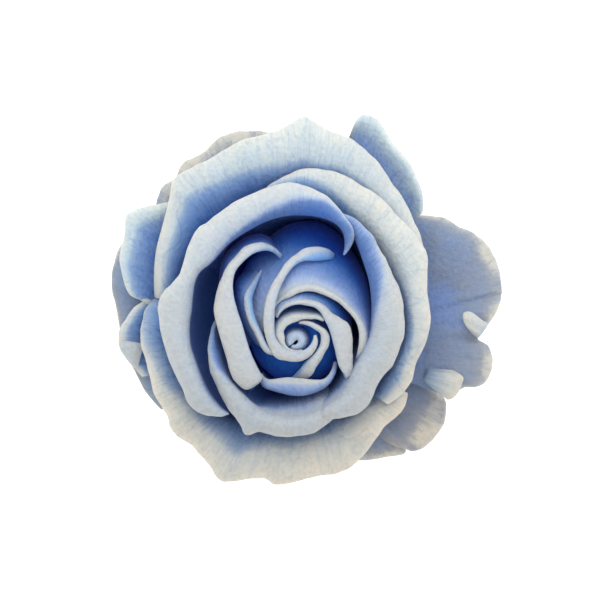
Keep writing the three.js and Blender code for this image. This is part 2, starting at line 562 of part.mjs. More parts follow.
const sepals = Array.from({ length: sepalCount }, (none, index) => sepal(index));
const calyx = new THREE.Mesh(asGeometry(join([hip(), ...sepals])), calyxGreen);
calyx.name = "calyx";
rose.add(calyx);

export default rose;
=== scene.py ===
import math

import bmesh
import bpy
from mathutils import Matrix, Vector


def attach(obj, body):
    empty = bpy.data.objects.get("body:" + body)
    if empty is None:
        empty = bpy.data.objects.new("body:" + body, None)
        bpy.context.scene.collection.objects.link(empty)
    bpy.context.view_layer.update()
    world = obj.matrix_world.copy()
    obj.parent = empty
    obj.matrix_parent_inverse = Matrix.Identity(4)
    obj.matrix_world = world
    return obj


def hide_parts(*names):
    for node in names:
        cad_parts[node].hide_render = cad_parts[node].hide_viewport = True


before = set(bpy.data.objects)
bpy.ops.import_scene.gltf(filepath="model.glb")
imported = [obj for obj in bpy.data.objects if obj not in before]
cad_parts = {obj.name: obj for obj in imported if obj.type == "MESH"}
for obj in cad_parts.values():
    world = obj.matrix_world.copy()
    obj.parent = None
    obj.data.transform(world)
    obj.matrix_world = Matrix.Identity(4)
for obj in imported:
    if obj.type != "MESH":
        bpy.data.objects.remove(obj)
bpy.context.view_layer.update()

# Receptacle: the seat inside the head that every petal grows from, with the crowded bases of
# the petals round it. It grew as one with them and leans as the bud does. From above it shows
# as deep blue between the petals, and from the side as their pale green foot.
MM = 0.001
STEM_AXIS = Vector((-0.7, -2.8))
BUD_AXIS = Vector((-1.5, -6.5))
SEAT_HEIGHT = 11.4
BUD_TOP = 42.0
RECEPTACLE_PROFILE = [
    (0, 11.7), (6.8, 11.7), (9.2, 14.5), (9.4, 19), (8, 25), (8, 31), (7.6, 35.2), (5.4, 38),
    (3.2, 39.2), (2.2, 38.4), (1.5, 36.4), (0, 36),
]
RECEPTACLE_SIDES = 48
RECEPTACLE_TONE = 0.3
SEAT_STOPS = [
    (0.0, "#8FA070"), (0.03, "#93A48A"), (0.09, "#4A7CC8"), (0.2, "#2670D2"), (1.0, "#2C74D4"),
]
# Patterns of the dyed skin, counted to the mm, and how deep they stand, in mm. The stretches
# draw them out along a petal, and a hair-thin vein takes HAIR_WIDTH of its noise.
PATCHES_PER_MM = 0.16
COCKLE_DEPTH = 5.0
VEINS_PER_MM = 1.5
VEIN_STRETCH = 0.09
HAIRS_PER_MM = 0.9
HAIR_STRETCH = 0.1
HAIR_WIDTH = 0.03
HAIR_SHADE = 1.4
GRAINS_PER_MM = 1.5
GRAIN_SHADE = 0.06
GRAIN_DEPTH = 0.3
# A noise keeps mostly between these two values.
NOISE_LOW = 0.3
NOISE_HIGH = 0.7
# Painted shade: the colour is darkened in front of the first place, and on the outer petals
# warmed too, and left as it is behind the second, in mm. The darkening stands in for light
# that falls from behind the head.
FULL_SHADE_PLACE = -18.0
NO_SHADE_PLACE = 6.0


def axis_at(height):
    """The middle of the head at a height, from the stem's axis to the bud's."""
    share = (height - SEAT_HEIGHT) / (BUD_TOP - SEAT_HEIGHT)
    return STEM_AXIS + (BUD_AXIS - STEM_AXIS) * share


def polar(axis, angle, radius, height):
    """A point at an angle in degrees and a radius round an axis, at a height."""
    turn = math.radians(angle)
    return Vector((axis.x + radius * math.cos(turn), axis.y + radius * math.sin(turn), height))


def linear(hex_colour):
    """An sRGB hex colour as linear red, green, blue and alpha."""
    parts = [int(hex_colour[i:i + 2], 16) / 255 for i in (1, 3, 5)]
    return [p / 12.92 if p <= 0.04045 else ((p + 0.055) / 1.055) ** 2.4 for p in parts] + [1.0]


def add_node(tree, kind, inputs=None, **settings):
    """Adds a shader node. An input that is a socket is linked, and any other is set."""
    node = tree.nodes.new(kind)
    for key, value in settings.items():
        setattr(node, key, value)
    for key, value in (inputs or {}).items():
        if isinstance(value, bpy.types.NodeSocket):
            tree.links.new(value, node.inputs[key])
        else:
            node.inputs[key].default_value = value
    return node


def ramp(tree, factor, stops):
    """A colour ramp through hex colours at places from 0 to 1."""
    node = add_node(tree, "ShaderNodeValToRGB", {"Fac": factor})
    elements = node.color_ramp.elements
    while len(elements) < len(stops):
        elements.new(0.5)
    for element, (place, colour) in zip(elements, stops):
        element.position = place
        element.color = linear(colour)
    return node.outputs["Color"]


def petal_material(name, reading, stops, vein_depth, roughness, streaks=0.02, cloudy=0.045,
                   front_shade_and_tint="#E7E7E7"):
    """One side of a petal softened in glycerine and dyed pale blue: matte and velvety, with
    light coming through. The dye is pale on the lip and gathers to a strong blue deep inside,
    and fine veins run from the base to the free edge. Reading is the attribute that says how
    pale the side is, and streaks and cloudy are how far the veins and patches change it. The
    colour given for the front of the head darkens it there as painted shade, and warms it on
    the outer petals."""
    material = bpy.data.materials.new(name)
    material.use_nodes = True
    tree = material.node_tree
    tree.nodes.clear()
    tone = add_node(tree, "ShaderNodeAttribute", attribute_name=reading).outputs["Fac"]
    along = add_node(tree, "ShaderNodeUVMap", uv_map="petal").outputs["UV"]
    place = add_node(tree, "ShaderNodeTexCoord").outputs["Object"]
    # Cloudy dye, in patches about 6 mm across.
    cloud = add_node(tree, "ShaderNodeTexNoise", {
        "Vector": place, "Scale": PATCHES_PER_MM / MM, "Detail": 3.0,
    }).outputs["Fac"]
    stain = add_node(tree, "ShaderNodeMapRange", {
        "Value": cloud, "From Min": NOISE_LOW, "From Max": NOISE_HIGH,
        "To Min": -cloudy, "To Max": cloudy,
    }).outputs["Result"]
    # Veins about 0.7 mm apart across the petal, drawn long along it. The UV map is in mm.
    drawn = add_node(tree, "ShaderNodeMapping", {"Vector": along, "Scale": (1.0, VEIN_STRETCH, 1.0)})
    veins = add_node(tree, "ShaderNodeTexNoise", {
        "Vector": drawn.outputs["Vector"], "Scale": VEINS_PER_MM, "Detail": 4.0, "Roughness": 0.55,
    }).outputs["Fac"]
    streak = add_node(tree, "ShaderNodeMapRange", {
        "Value": veins, "From Min": NOISE_LOW, "From Max": NOISE_HIGH,
        "To Min": -streaks, "To Max": streaks,
    }).outputs["Result"]
    # Hair-thin darker lines in them, where a drawn-out noise crosses its middle.
    lines = add_node(tree, "ShaderNodeMapping", {"Vector": along, "Scale": (1.0, HAIR_STRETCH, 1.0)})
    crossing = add_node(tree, "ShaderNodeTexNoise", {
        "Vector": lines.outputs["Vector"], "Scale": HAIRS_PER_MM, "Detail": 3.0, "Distortion": 0.25,
    }).outputs["Fac"]
    off_middle = add_node(tree, "ShaderNodeMath", {0: crossing, 1: 0.5}, operation="SUBTRACT")
    distance = add_node(tree, "ShaderNodeMath", {0: off_middle.outputs[0]}, operation="ABSOLUTE")
    hair = add_node(tree, "ShaderNodeMapRange", {
        "Value": distance.outputs[0], "From Min": 0.0, "From Max": HAIR_WIDTH,
        "To Min": -HAIR_SHADE * streaks, "To Max": 0.0,
    }).outputs["Result"]
    for change in (hair, stain, streak):
        tone = add_node(tree, "ShaderNodeMath", {0: tone, 1: change}, operation="ADD").outputs[0]
    dyed = ramp(tree, tone, stops)
    # Painted shade: the front of the head is darker, standing in for light that falls from
    # behind it, and on the outer petals warmer as well.
    depth = add_node(tree, "ShaderNodeSeparateXYZ", {"Vector": place}).outputs["Y"]
    front_shade_share = add_node(tree, "ShaderNodeMapRange", {
        "Value": depth, "From Min": FULL_SHADE_PLACE * MM, "From Max": NO_SHADE_PLACE * MM,
    })
    front_shading = ramp(tree, front_shade_share.outputs["Result"], [(0.0, front_shade_and_tint), (1.0, "#FFFFFF")])
    shaded_dye = add_node(tree, "ShaderNodeVectorMath", {0: dyed, 1: front_shading}, operation="MULTIPLY")
    # Grain of the dried skin, in papery lumps about 0.6 mm across: lighter on the lumps,
    # darker along the veins.
    grain = add_node(tree, "ShaderNodeTexNoise", {
        "Vector": place, "Scale": GRAINS_PER_MM / MM, "Detail": 3.0,
    }).outputs["Fac"]
    lumps = add_node(tree, "ShaderNodeMapRange", {
        "Value": grain, "From Min": NOISE_LOW, "From Max": NOISE_HIGH,
        "To Min": 1 - GRAIN_SHADE, "To Max": 1 + GRAIN_SHADE,
    }).outputs["Result"]
    shade = add_node(tree, "ShaderNodeMath", {0: lumps, 1: hair}, operation="ADD").outputs[0]
    colour = add_node(tree, "ShaderNodeVectorMath", {
        0: shaded_dye.outputs["Vector"], "Scale": shade,
    }, operation="SCALE").outputs["Vector"]
    # Relief: the grain, the veins, and cockles of the dried skin where its dye is cloudy.
    relief = add_node(tree, "ShaderNodeBump", {
        "Strength": 0.8, "Distance": GRAIN_DEPTH * MM, "Height": grain,
    }).outputs["Normal"]
    for strength, deep, height in ((0.6, vein_depth, veins), (0.7, COCKLE_DEPTH * cloudy, cloud)):
        relief = add_node(tree, "ShaderNodeBump", {
            "Strength": strength, "Distance": deep * MM, "Height": height, "Normal": relief,
        }).outputs["Normal"]
    shader = add_node(tree, "ShaderNodeBsdfPrincipled", {
        "Base Color": colour, "Roughness": roughness, "Specular IOR Level": 0.25, "IOR": 1.4,
        "Subsurface Weight": 0.45, "Subsurface Radius": (0.4, 0.7, 1.0), "Subsurface Scale": 0.0008,
        "Sheen Weight": 0.1, "Sheen Roughness": 0.5, "Normal": relief,
    })
    add_node(tree, "ShaderNodeOutputMaterial", {"Surface": shader.outputs["BSDF"]})
    return material


def set_piece(name, bm, materials, node):
    """A smooth piece from a bmesh in millimetres, standing for a CAD node."""
    bmesh.ops.scale(bm, vec=(MM, MM, MM), verts=bm.verts)
    mesh = bpy.data.meshes.new(name)
    bm.to_mesh(mesh)
    bm.free()
    for material in materials:
        mesh.materials.append(material)
    mesh.shade_smooth()
    piece = bpy.data.objects.new(name, mesh)
    bpy.context.scene.collection.objects.link(piece)
    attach(piece, "root")
    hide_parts(node)
    return piece


def turned(profile, sides):
    """A closed solid turned from (radius, height) pairs, smoothed between them."""
    bm = bmesh.new()
    line = [bm.verts.new((radius, 0, height)) for radius, height in profile]
    edges = [bm.edges.new(pair) for pair in zip(line, line[1:])]
    bmesh.ops.spin(
        bm, geom=line + edges, axis=(0, 0, 1), cent=(0, 0, 0), angle=math.tau, steps=sides,
        use_merge=True,
    )
    bmesh.ops.remove_doubles(bm, verts=bm.verts, dist=0.001)
    bmesh.ops.recalc_face_normals(bm, faces=bm.faces)
    return bm


seat_dye = petal_material(
    "dyed receptacle, undyed green foot", "tone", SEAT_STOPS, vein_depth=0.12, roughness=0.62,
)
seat = turned(RECEPTACLE_PROFILE, RECEPTACLE_SIDES)
seat_tone = seat.verts.layers.float.new("tone")
for vert in seat.verts:
    height = vert.co.z
    vert.co.xy = vert.co.xy + axis_at(height)
    vert[seat_tone] = RECEPTACLE_TONE * max(0, height - SEAT_HEIGHT) / (BUD_TOP - SEAT_HEIGHT)
set_piece("receptacle", seat, [seat_dye], "bloom")

# Bud: petals wrapped round each other in a leaning spiral. Each is one thin blade, rooted on
# the receptacle, that swells out as a wall and rolls over at the top into a pale lip.
# A rib is (angle, radius) where the wall turns over, (angle, radius) of the free edge, and a
# lift of the crest, in degrees and mm round the bud's axis as seen from above.
# The deepest stop is a lighter, stronger blue than the dye: painted light against the shade deep
# between the bud's petals.
BUD_FACE_STOPS = [
    (0.0, "#1068E4"), (0.25, "#3480E0"), (0.45, "#6096D8"), (0.6, "#8CAED8"), (0.72, "#AEBED4"),
    (0.85, "#C2C9D0"), (1.0, "#C8CACA"),
]
BUD_BACK_STOPS = [
    (0.0, "#0E44A0"), (0.2, "#285EAC"), (0.45, "#5C80BC"), (0.68, "#829CCC"), (0.86, "#A6B8D8"),
    (0.95, "#BEC7D0"), (1.0, "#C6CACA"),
]
HEART_BACK_STOPS = [(0.0, "#1660D8"), (0.6, "#7CA0D8"), (1.0, "#B2C4DE")]
# A blade thins to EDGE_SHARE of its thickness at the free edge.
BLADE_THICKNESS = 0.34
EDGE_SHARE = 0.4
# A wall swells at SWELL_HEIGHT of its height, to SWELL_SHARE of its radius at the turn and
# its bulge.
SWELL_HEIGHT = 0.25
SWELL_SHARE = 0.75
# A lip leaves the turn steeply, or leans out where it stands up, and comes down from its
# shoulder: places on the way from the turn to the free edge. A narrow lip rises and rolls by
# no more than these shares of its width.
LIP_OVER = 0.08
LIP_UPRIGHT = 0.7
LIP_SHOULDER = 0.75
NARROW_RISE = 0.8
NARROW_ROLL = 0.6
# Waves of the free edge and of the crest, in radians to the mm, and the crest's share of them.
EDGE_WAVES = 0.9
EDGE_LIFT = 0.8
CREST_WAVES = 0.5
CREST_SHARE = 0.6
PHASE_STEP = 0.37
# Dye on a face: LIP_TONE where the pale lip begins, 1 just past the free edge, and falling
# inwards over DYE_EDGE mm where it is crisp and over DYE_FADE mm where it isn't.
LIP_TONE = 0.8
PAST_EDGE = 2.01
DYE_EDGE = 0.9
DYE_FADE = 11.0
# Dye on a back: a drop of BACK_STEP within BACK_EDGE mm of its line, and a slow fall below it.
BACK_STEP = 0.14
BACK_EDGE = 0.5


def between(rows, place):
    """The row at a place along a list of rows, on a smooth curve through them."""
    first = min(int(place), len(rows) - 2)
    f = place - first
    near = [rows[min(max(k, 0), len(rows) - 1)] for k in range(first - 1, first + 3)]
    row = []
    for p, q, r, s in zip(*near):
        bend = 2 * p - 5 * q + 4 * r - s
        twist = 3 * q - p - 3 * r + s
        row.append(0.5 * (2 * q + (r - p) * f + bend * f ** 2 + twist * f ** 3))
    return row


def bezier(points, t):
    """A point on a cubic curve of four points."""
    a, b, c, d = points
    return a * (1 - t) ** 3 + b * 3 * t * (1 - t) ** 2 + c * 3 * t ** 2 * (1 - t) + d * t ** 3


def swing(phase, place):
    """An uneven wave from -1 to 1 or so, for edges that grew a little out of true."""
    slow = 0.6 * math.sin(place + phase)
    middling = 0.3 * math.sin(2.3 * place + 2 * phase)
    quick = 0.2 * math.sin(4.9 * place + 5 * phase)
    return slow + middling + quick


def level(values, across):
    """A value that stays the same across a petal, or goes smoothly through a few."""
    if isinstance(values, (int, float)):
        return values
    return between([(value,) for value in values], across * (len(values) - 1))[0]


def face_tone(inside, pale_width, crisp):
    """The tone of a face some mm inside the line where its pale lip begins, or outside it."""
    if inside <= 0:
        return LIP_TONE - (1 - LIP_TONE) * inside / pale_width
    near, far = math.exp(-inside / DYE_EDGE), math.exp(-inside / DYE_FADE)
    return LIP_TONE * (far + crisp * (near - far))


def rear_tone(down, fade):
    """The tone of a back some mm below its line, where it deepens over fade mm."""
    return max(0, 1 - BACK_STEP * (1 - math.exp(-down / BACK_EDGE)) - down / fade)


def look_inwards(bm, height):
    """Turns a blade's faces to the head's axis, so that its other side is its back."""
    bm.normal_update()
    wall_face = min(bm.faces, key=lambda face: abs(face.calc_center_median().z - height))
    middle = wall_face.calc_center_median()
    if wall_face.normal.xy.dot(axis_at(middle.z) - middle.xy) < 0:
        bmesh.ops.reverse_faces(bm, faces=bm.faces)


def petal(name, root, bulge, lean, spread, top, fall, rise, roll, rim, ribs, dye,
          pale=1.0, crisp=0.35, held=1.0, drop=0.333, back_line=1.0, back_fade=16.0, wave=0.15,
          cells=(64, 24)):
    """One blade, in mm. Root is its radius and height on the receptacle, or in a guard's lip
    for a small fold, bulge and lean its swelling all round and towards the back, spread how
    far the wall comes from inside, and drop how soon it falls. Top is the crest's height, fall
    its drop at both sides, rise and roll the lip's drop to the wall and to the free edge, rim
    1 where the lip stands up, held the share of a rib's lift that the wall takes, and wave how
    uneven the edge is. The pale lip begins at pale on the face, set in sharply by crisp, and
    at back_line on the back, which deepens over back_fade: 1 is the turn and 2 the free edge.
    Bulge, spread and the four for dye may go through several values, first rib to last."""
    bm = bmesh.new()
    uv = bm.loops.layers.uv.new("petal")
    tone = bm.verts.layers.float.new("tone")
    back_tone = bm.verts.layers.float.new("back_tone")
    thickness = bm.verts.layers.deform.new()
    bmesh.ops.create_grid(bm, x_segments=cells[0], y_segments=cells[1], size=1)
    phase = PHASE_STEP * sum(map(ord, name))
    spots = {}
    for vert in bm.verts:
        across, along = 0.5 * (vert.co.x + 1), vert.co.y + 1
        rib = between(ribs, across * (len(ribs) - 1))
        turn_angle, turn_radius, edge_angle, edge_radius, lift = rib
        # The crest, the turn below it and the free edge, each a little uneven.
        sides = (2 * across - 1) ** 4
        arc = math.radians(ribs[-1][2] - ribs[0][2]) * across * edge_radius
        ripple = wave * swing(phase, EDGE_WAVES * arc)
        crest_ripple = CREST_SHARE * wave * swing(phase + 1, CREST_WAVES * arc)
        crest = top + lift - fall * sides + crest_ripple
        turn = polar(BUD_AXIS, turn_angle, turn_radius, 0)
        edge = polar(BUD_AXIS, edge_angle, edge_radius + ripple, 0)
        width = (edge - turn).length
        rise_here = min(rise, NARROW_RISE * width)
        roll_here = min(roll, NARROW_ROLL * width)
        turn.z = crest - (1 - held) * lift - rise_here
        edge.z = crest - roll_here + EDGE_LIFT * ripple
        # The wall, from the root out over the swelling and up to the turn.
        wall_height = turn.z - root[1]
        swell_height = root[1] + SWELL_HEIGHT * wall_height
        rearward = max(0, math.sin(math.radians(turn_angle)))
        swell = SWELL_SHARE * turn_radius + level(bulge, across) + lean * rearward
        inner_radius = turn_radius - level(spread, across)
        wall = (
            polar(axis_at(root[1]), turn_angle, root[0], root[1]),
            polar(axis_at(swell_height), turn_angle, swell, swell_height),
            polar(BUD_AXIS, turn_angle, inner_radius, turn.z - drop * wall_height),
            turn,
        )
        # The lip, from the turn over the crest to the free edge.
        over = turn.lerp(edge, LIP_OVER)
        over.z = crest + rise_here / 3
        upright = turn.lerp(edge, LIP_UPRIGHT)
        upright.z = turn.z
        shoulder = turn.lerp(edge, LIP_SHOULDER)
        shoulder.z = crest + roll_here / 3
        lip = (turn, over.lerp(upright, rim), shoulder, edge)
        vert.co = bezier(wall, along) if along <= 1 else bezier(lip, along - 1)
        # Lengths up the blade, for its veins and its dye.
        wall_long = (wall[1] - wall[0]).length + (wall[3] - wall[1]).length
        lip_long = rise_here + width + roll_here
        from_root = along * wall_long if along <= 1 else wall_long + (along - 1) * lip_long
        spots[vert] = (arc, from_root)
        line = level(pale, across)
        inside = wall_long + (line - 1) * lip_long - from_root
        vert[tone] = face_tone(inside, (PAST_EDGE - line) * lip_long, level(crisp, across))
        down = wall_long + (level(back_line, across) - 1) * lip_long - from_root
        vert[back_tone] = rear_tone(max(0, down), level(back_fade, across))
        vert[thickness][0] = 1 if along < 1 else 1 - (1 - EDGE_SHARE) * (along - 1)
    for face in bm.faces:
        for loop in face.loops:
            loop[uv].uv = spots[loop.vert]
    look_inwards(bm, 0.5 * (root[1] + top))
    piece = set_piece(name, bm, dye, "bloom")
    piece.vertex_groups.new(name="thickness")
    blade = piece.modifiers.new("blade", "SOLIDIFY")
    blade.thickness = BLADE_THICKNESS * MM
    blade.offset = 0
    blade.vertex_group = "thickness"
    blade.material_offset = 1
    soften = piece.modifiers.new("soft", "SUBSURF")
    soften.levels = soften.render_levels = 1


bud_dye = (
    petal_material(
        "dyed petal, bud, inner side", "tone", BUD_FACE_STOPS, vein_depth=0.12, roughness=0.62,
    ),
    petal_material(
        "dyed petal, bud, outer side", "back_tone", BUD_BACK_STOPS, vein_depth=0.12, roughness=0.62,
    ),
)
heart_dye = (
    bud_dye[0],
    petal_material(
        "dyed petal, heart", "back_tone", HEART_BACK_STOPS, vein_depth=0.1, roughness=0.62,
    ),
)

petal(
    "heart_fold", root=(1.2, 24), bulge=1.2, lean=0, spread=-1.2,
    top=41.3, fall=0, rise=1.1, roll=0.25, rim=0,
    ribs=[
        (-138, 1.35, -140, 0.85, -0.3), (-120, 1.4, -118, 0.7, 0), (-90, 1.3, -90, 0.4, 0),
        (-50, 1.35, -50, 0.22, 0), (0, 1.4, 0, 0.2, 0), (50, 1.45, 50, 0.2, 0),
        (100, 1.6, 100, 0.2, 0), (150, 1.8, 150, 0.25, 0), (190, 1.75, 186, 0.4, 0),
        (212, 1.6, 206, 0.7, -0.1),
    ],
    dye=heart_dye, wave=0.03, cells=(44, 14),
)

petal(
    "first_wrap", root=(1.8, 22), bulge=1.8, lean=0.6, spread=-2.5,
    top=42, fall=0.3, rise=0.5, roll=0.25, rim=0,
    ribs=[
        (300, 1.7, 300, 1.5, -0.3), (275, 1.62, 275, 1.42, -0.1), (248, 1.68, 248, 1.5, 0),
        (226, 2.1, 220, 1.75, 0), (200, 2.5, 198, 1.9, 0), (178, 3, 178, 2, 0),
        (162, 3.6, 160, 2.1, 0), (146, 3.85, 144, 2.6, 0), (125, 4.05, 125, 2.9, 0),
        (107, 4.15, 107, 3, 0), (90, 4.25, 90, 3.2, 0), (75, 4.4, 75, 3.6, 0),
        (60, 4.8, 60, 4.1, 0), (49, 5.35, 48, 4.7, 0), (37, 5.6, 38, 5.2, -0.2),
    ],
    dye=bud_dye, pale=2.2, back_fade=7, wave=0.05, cells=(64, 18),
)

petal(
    "second_wrap", root=(2, 22), bulge=1.8, lean=0, spread=-3.5,
    top=41.9, fall=0.8, rise=0.7, roll=0.4, rim=0,
    ribs=[
        (85, 2.9, 84, 3.25, 0), (68, 3, 66, 3.6, 0), (50, 3.2, 50, 3.95, 0),
        (33, 3.5, 36, 4.3, 0), (20, 3.95, 22, 4.9, 0), (5, 3.9, 8, 5.2, 0),
        (-10, 3.75, -8, 5.1, 0), (-25, 3.55, -22, 4.8, 0), (-42, 3.4, -40, 4.9, 0),
        (-57, 3.45, -55, 5.2, 0), (-70, 3.65, -63, 5.7, -0.4), (-80, 4.2, -70, 6.05, -0.8),
        (-89, 4.9, -77, 6.4, -1.4), (-98, 5.8, -87, 6.9, -2.2),
    ],
    dye=bud_dye, pale=(1.05, 1.05, 1.2, 1.5), back_fade=7, wave=0.05, cells=(56, 18),
)

petal(
    "curling_lip", root=(2.6, 20), bulge=2.2, lean=0, spread=-1.5,
    top=42.6, fall=0, rise=0.5, roll=0.4, rim=0,
    ribs=[
        (66.5, 14.6, 67, 15.1, -3.6), (70, 13.9, 73, 15.6, -2), (78, 13.2, 84, 15, -1.1),
        (86, 12.9, 91, 13.9, -0.6), (93, 12, 98, 12.7, -0.3), (100, 10.6, 106, 11, -0.1),
        (108, 9, 115, 9.7, 0), (116, 7.6, 125, 8.4, 0.4), (127, 6.1, 136, 7.2, 0.4),
        (137, 5.1, 146, 6.4, 0.4), (151, 4.25, 156, 5.75, 0.3), (165, 3.75, 167, 5.2, 0.2),
        (180, 3.2, 178, 4.8, 0.1), (200, 2.6, 195, 4.4, 0), (222, 2.2, 216, 4.3, 0),
        (240, 1.8, 238, 3.6, 0), (260, 1.7, 260, 3.3, 0), (280, 1.7, 280, 3.2, -0.1),
        (300, 1.8, 300, 3.1, -0.2), (322, 2, 322, 3.1, -0.3), (345, 2.3, 345, 3.3, -0.4),
        (362, 2.6, 362, 3.3, -0.6), (378, 2.9, 379, 3.15, -1.2),
    ],
    dye=bud_dye, pale=(1.95, 1.5, 1.15, 1.12, 1.12, 1.12, 1.12, 1.12), wave=0.08,
    cells=(110, 22),
)

petal(
    "right_band", root=(3.2, 20), bulge=2.4, lean=1,
    spread=(-8, -8, -8, -8, -5, -2, 1.5), top=42.4, fall=0.6, rise=0.6, roll=0.6, rim=0,
    ribs=[
        (131, 4.9, 131, 5.3, -1), (116, 5.5, 116, 5.9, -0.6), (102, 5.8, 102, 6.3, -0.3),
        (88, 6, 88, 6.6, 0), (75, 6, 75, 6.85, 0), (63, 6.15, 63, 7.05, 0),
        (51, 6, 51, 7.1, 0), (38, 5.6, 38, 7.2, 0), (27, 5.5, 27, 8, 0),
        (15, 5.5, 17, 8.7, 0), (0, 5.7, 4, 8.85, 0), (-10, 6.1, -10, 9.05, 0),
        (-20, 6.7, -21, 9.5, 0), (-28, 7.5, -28, 10, 0), (-32, 8.3, -32.5, 10.1, 0),
        (-35, 9.4, -35.5, 10, -0.2), (-37, 9.7, -37.5, 9.9, -1.6),
    ],
    dye=bud_dye, pale=1.1, drop=0.12, back_fade=4, wave=0.08, cells=(80, 20),
)

petal(
    "left_strip", root=(3.6, 20), bulge=2.6, lean=1.2,
    spread=(-3, -8, -8, -6, -2, 0), top=42.2, fall=1.2, rise=0.5, roll=0.5, rim=0,
    ribs=[
        (117, 12.4, 116, 12.9, -3.4), (126, 11.1, 127, 11.8, -2), (136, 10, 138, 11.2, -0.9),
        (143, 8.9, 146, 10.2, -0.3), (153, 7.4, 156, 8.7, 0), (164, 6.1, 168, 7.1, 0),
        (174, 5.4, 180, 6.2, 0), (186, 4.9, 191, 5.75, 0), (199, 4.2, 202, 5.2, -0.1),
        (212, 3.4, 214, 4.1, -0.4), (226, 2.6, 228, 3.2, -1.2),
    ],
    dye=bud_dye, pale=(1.9, 1.7, 1.3, 1.2), drop=0.15, back_fade=7, wave=0.06, cells=(60, 18),
)

petal(
    "wide_back", root=(4.6, 18), bulge=(5, 6, 10, 12, 7, 5, 5), lean=2,
    spread=(-10, -11, -13, -14, -8, -2, 0), top=42, fall=0, rise=0.5, roll=0.3, rim=0,
    ribs=[
        (186, 4.8, 186, 4.2, -7), (176, 4.8, 176, 4.2, -4.2), (165, 4.8, 165, 4.3, -2.2),
        (150, 5.4, 150, 4.9, -1.4), (137, 6.1, 137, 5.6, -1.3), (125, 6.8, 125, 6.3, -1.2),
        (115, 7.2, 115, 6.8, -1), (108, 7.5, 108, 7, -0.7), (100, 8, 100, 7.1, -0.2),
        (92, 8.6, 90, 7.6, 0), (81, 9.1, 80, 8.1, 0), (71, 9.4, 70, 8.4, 0),
        (60, 9.5, 57, 8.6, 0), (49, 9.7, 44, 9, 0), (38, 9.95, 32, 9.4, 0),
        (28, 10.3, 21, 9.8, 0), (17, 10.8, 10, 10, 0), (5, 11.1, 0, 9.9, 0),
        (-6, 10.9, -9, 9.8, -0.4), (-14, 10.4, -16, 9.7, -1.2), (-24, 10, -24, 9.6, -3),
    ],
    dye=bud_dye, pale=2.4, back_line=(1, 0.9, 0.8, 0.9, 1.15, 1.2, 1.2, 1.2, 1.2, 1.2, 1.2),
    back_fade=(14, 15, 16, 17, 16, 12, 10, 10, 10, 10, 10), drop=0.17, wave=0.05,
    cells=(110, 26),
)

petal(
    "under_band", root=(4.2, 19), bulge=1.2, lean=0, spread=1,
    top=41.4, fall=1, rise=0.8, roll=0.3, rim=0,
    ribs=[
        (224, 8.6, 222, 7.6, -1), (234, 9, 231, 7.7, -0.3), (243, 8.75, 240, 7, 0),
        (253, 8.6, 250, 6.2, 0), (264, 8.65, 262, 5.8, 0), (278, 8.7, 278, 5.95, 0),
        (292, 8.6, 293, 6.6, 0), (304, 8.5, 302, 7.3, 0), (313, 8.2, 311, 7.4, -0.3),
        (323, 7.7, 321, 7.1, -0.9), (332, 7.2, 331, 6.7, -1.6),
    ],
    dye=bud_dye, pale=2.2, back_line=(1.8, 1.7, 1.8, 2.2), back_fade=9, wave=0.08,
    cells=(56, 20),
)

petal(
    "left_wing", root=(4.8, 18.5), bulge=3, lean=1.5,
    spread=(-2, -5.5, -6.5, -6.5, -6.5, -7, -7, -7, -7), top=43.2, fall=0.6, rise=0.6,
    roll=0.6, rim=0,
    ribs=[
        (101, 13.4, 100, 14, -3.4), (105, 14.8, 104.5, 15.7, -1.8), (110, 15.5, 110.5, 16.8, -0.6),
        (117, 15.7, 119, 17.2, 0), (124, 15.4, 126, 16.8, 0), (131, 15, 134, 16.3, 0),
        (138, 13.9, 141, 15.6, 0), (144, 12.6, 149, 15, 0), (152, 10.9, 157, 14.5, 0),
        (162, 9.3, 165, 13.6, 0), (174, 8.3, 174, 12.6, 0), (190, 7.7, 188, 11.75, 0),
        (206, 7.5, 202, 11.7, 0), (214, 7.6, 212, 11.8, -0.1), (220, 7.7, 219, 11.6, -0.2),
        (224, 7.9, 224, 11.2, -0.3), (226, 8.2, 226.5, 9.8, -0.5), (227, 8.6, 227.5, 9, -1.2),
    ],
    dye=bud_dye, pale=(1.8, 1.3, 1.1, 1.1, 1.1, 1.1, 1.1), drop=0.26, back_fade=6, wave=0.1,
    cells=(84, 22),
)

# Cup: the three petals round the bud, each one thin dyed blade rooted on the receptacle. They
# stand as a deep bowl, and their broad lips roll outwards, cream at the edge and blue where
# they turn down into the bowl.
# The two deepest stops are lighter than the one above them: painted light against the shade deep in
# the bowl.
CUP_FACE_STOPS = [
    (0.0, "#5088E4"), (0.18, "#487ED6"), (0.3, "#4072C4"), (0.42, "#5678B4"), (0.5, "#6482B6"),
    (0.6, "#8AA0CA"), (0.72, "#A8B8D0"), (0.85, "#BCC5CD"), (1.0, "#C4C7C7"),
]
CUP_BACK_STOPS = [(0.0, "#5C80C0"), (0.4, "#86A3D6"), (0.75, "#A8BBD8"), (1.0, "#BCC6D2")]
cup_dye = (
    petal_material(
        "dyed petal, cup, inner side", "tone", CUP_FACE_STOPS, vein_depth=0.14, roughness=0.62,
        streaks=0.035,
    ),
    petal_material(
        "dyed petal, cup, outer side", "back_tone", CUP_BACK_STOPS, vein_depth=0.16, roughness=0.64,
    ),
)

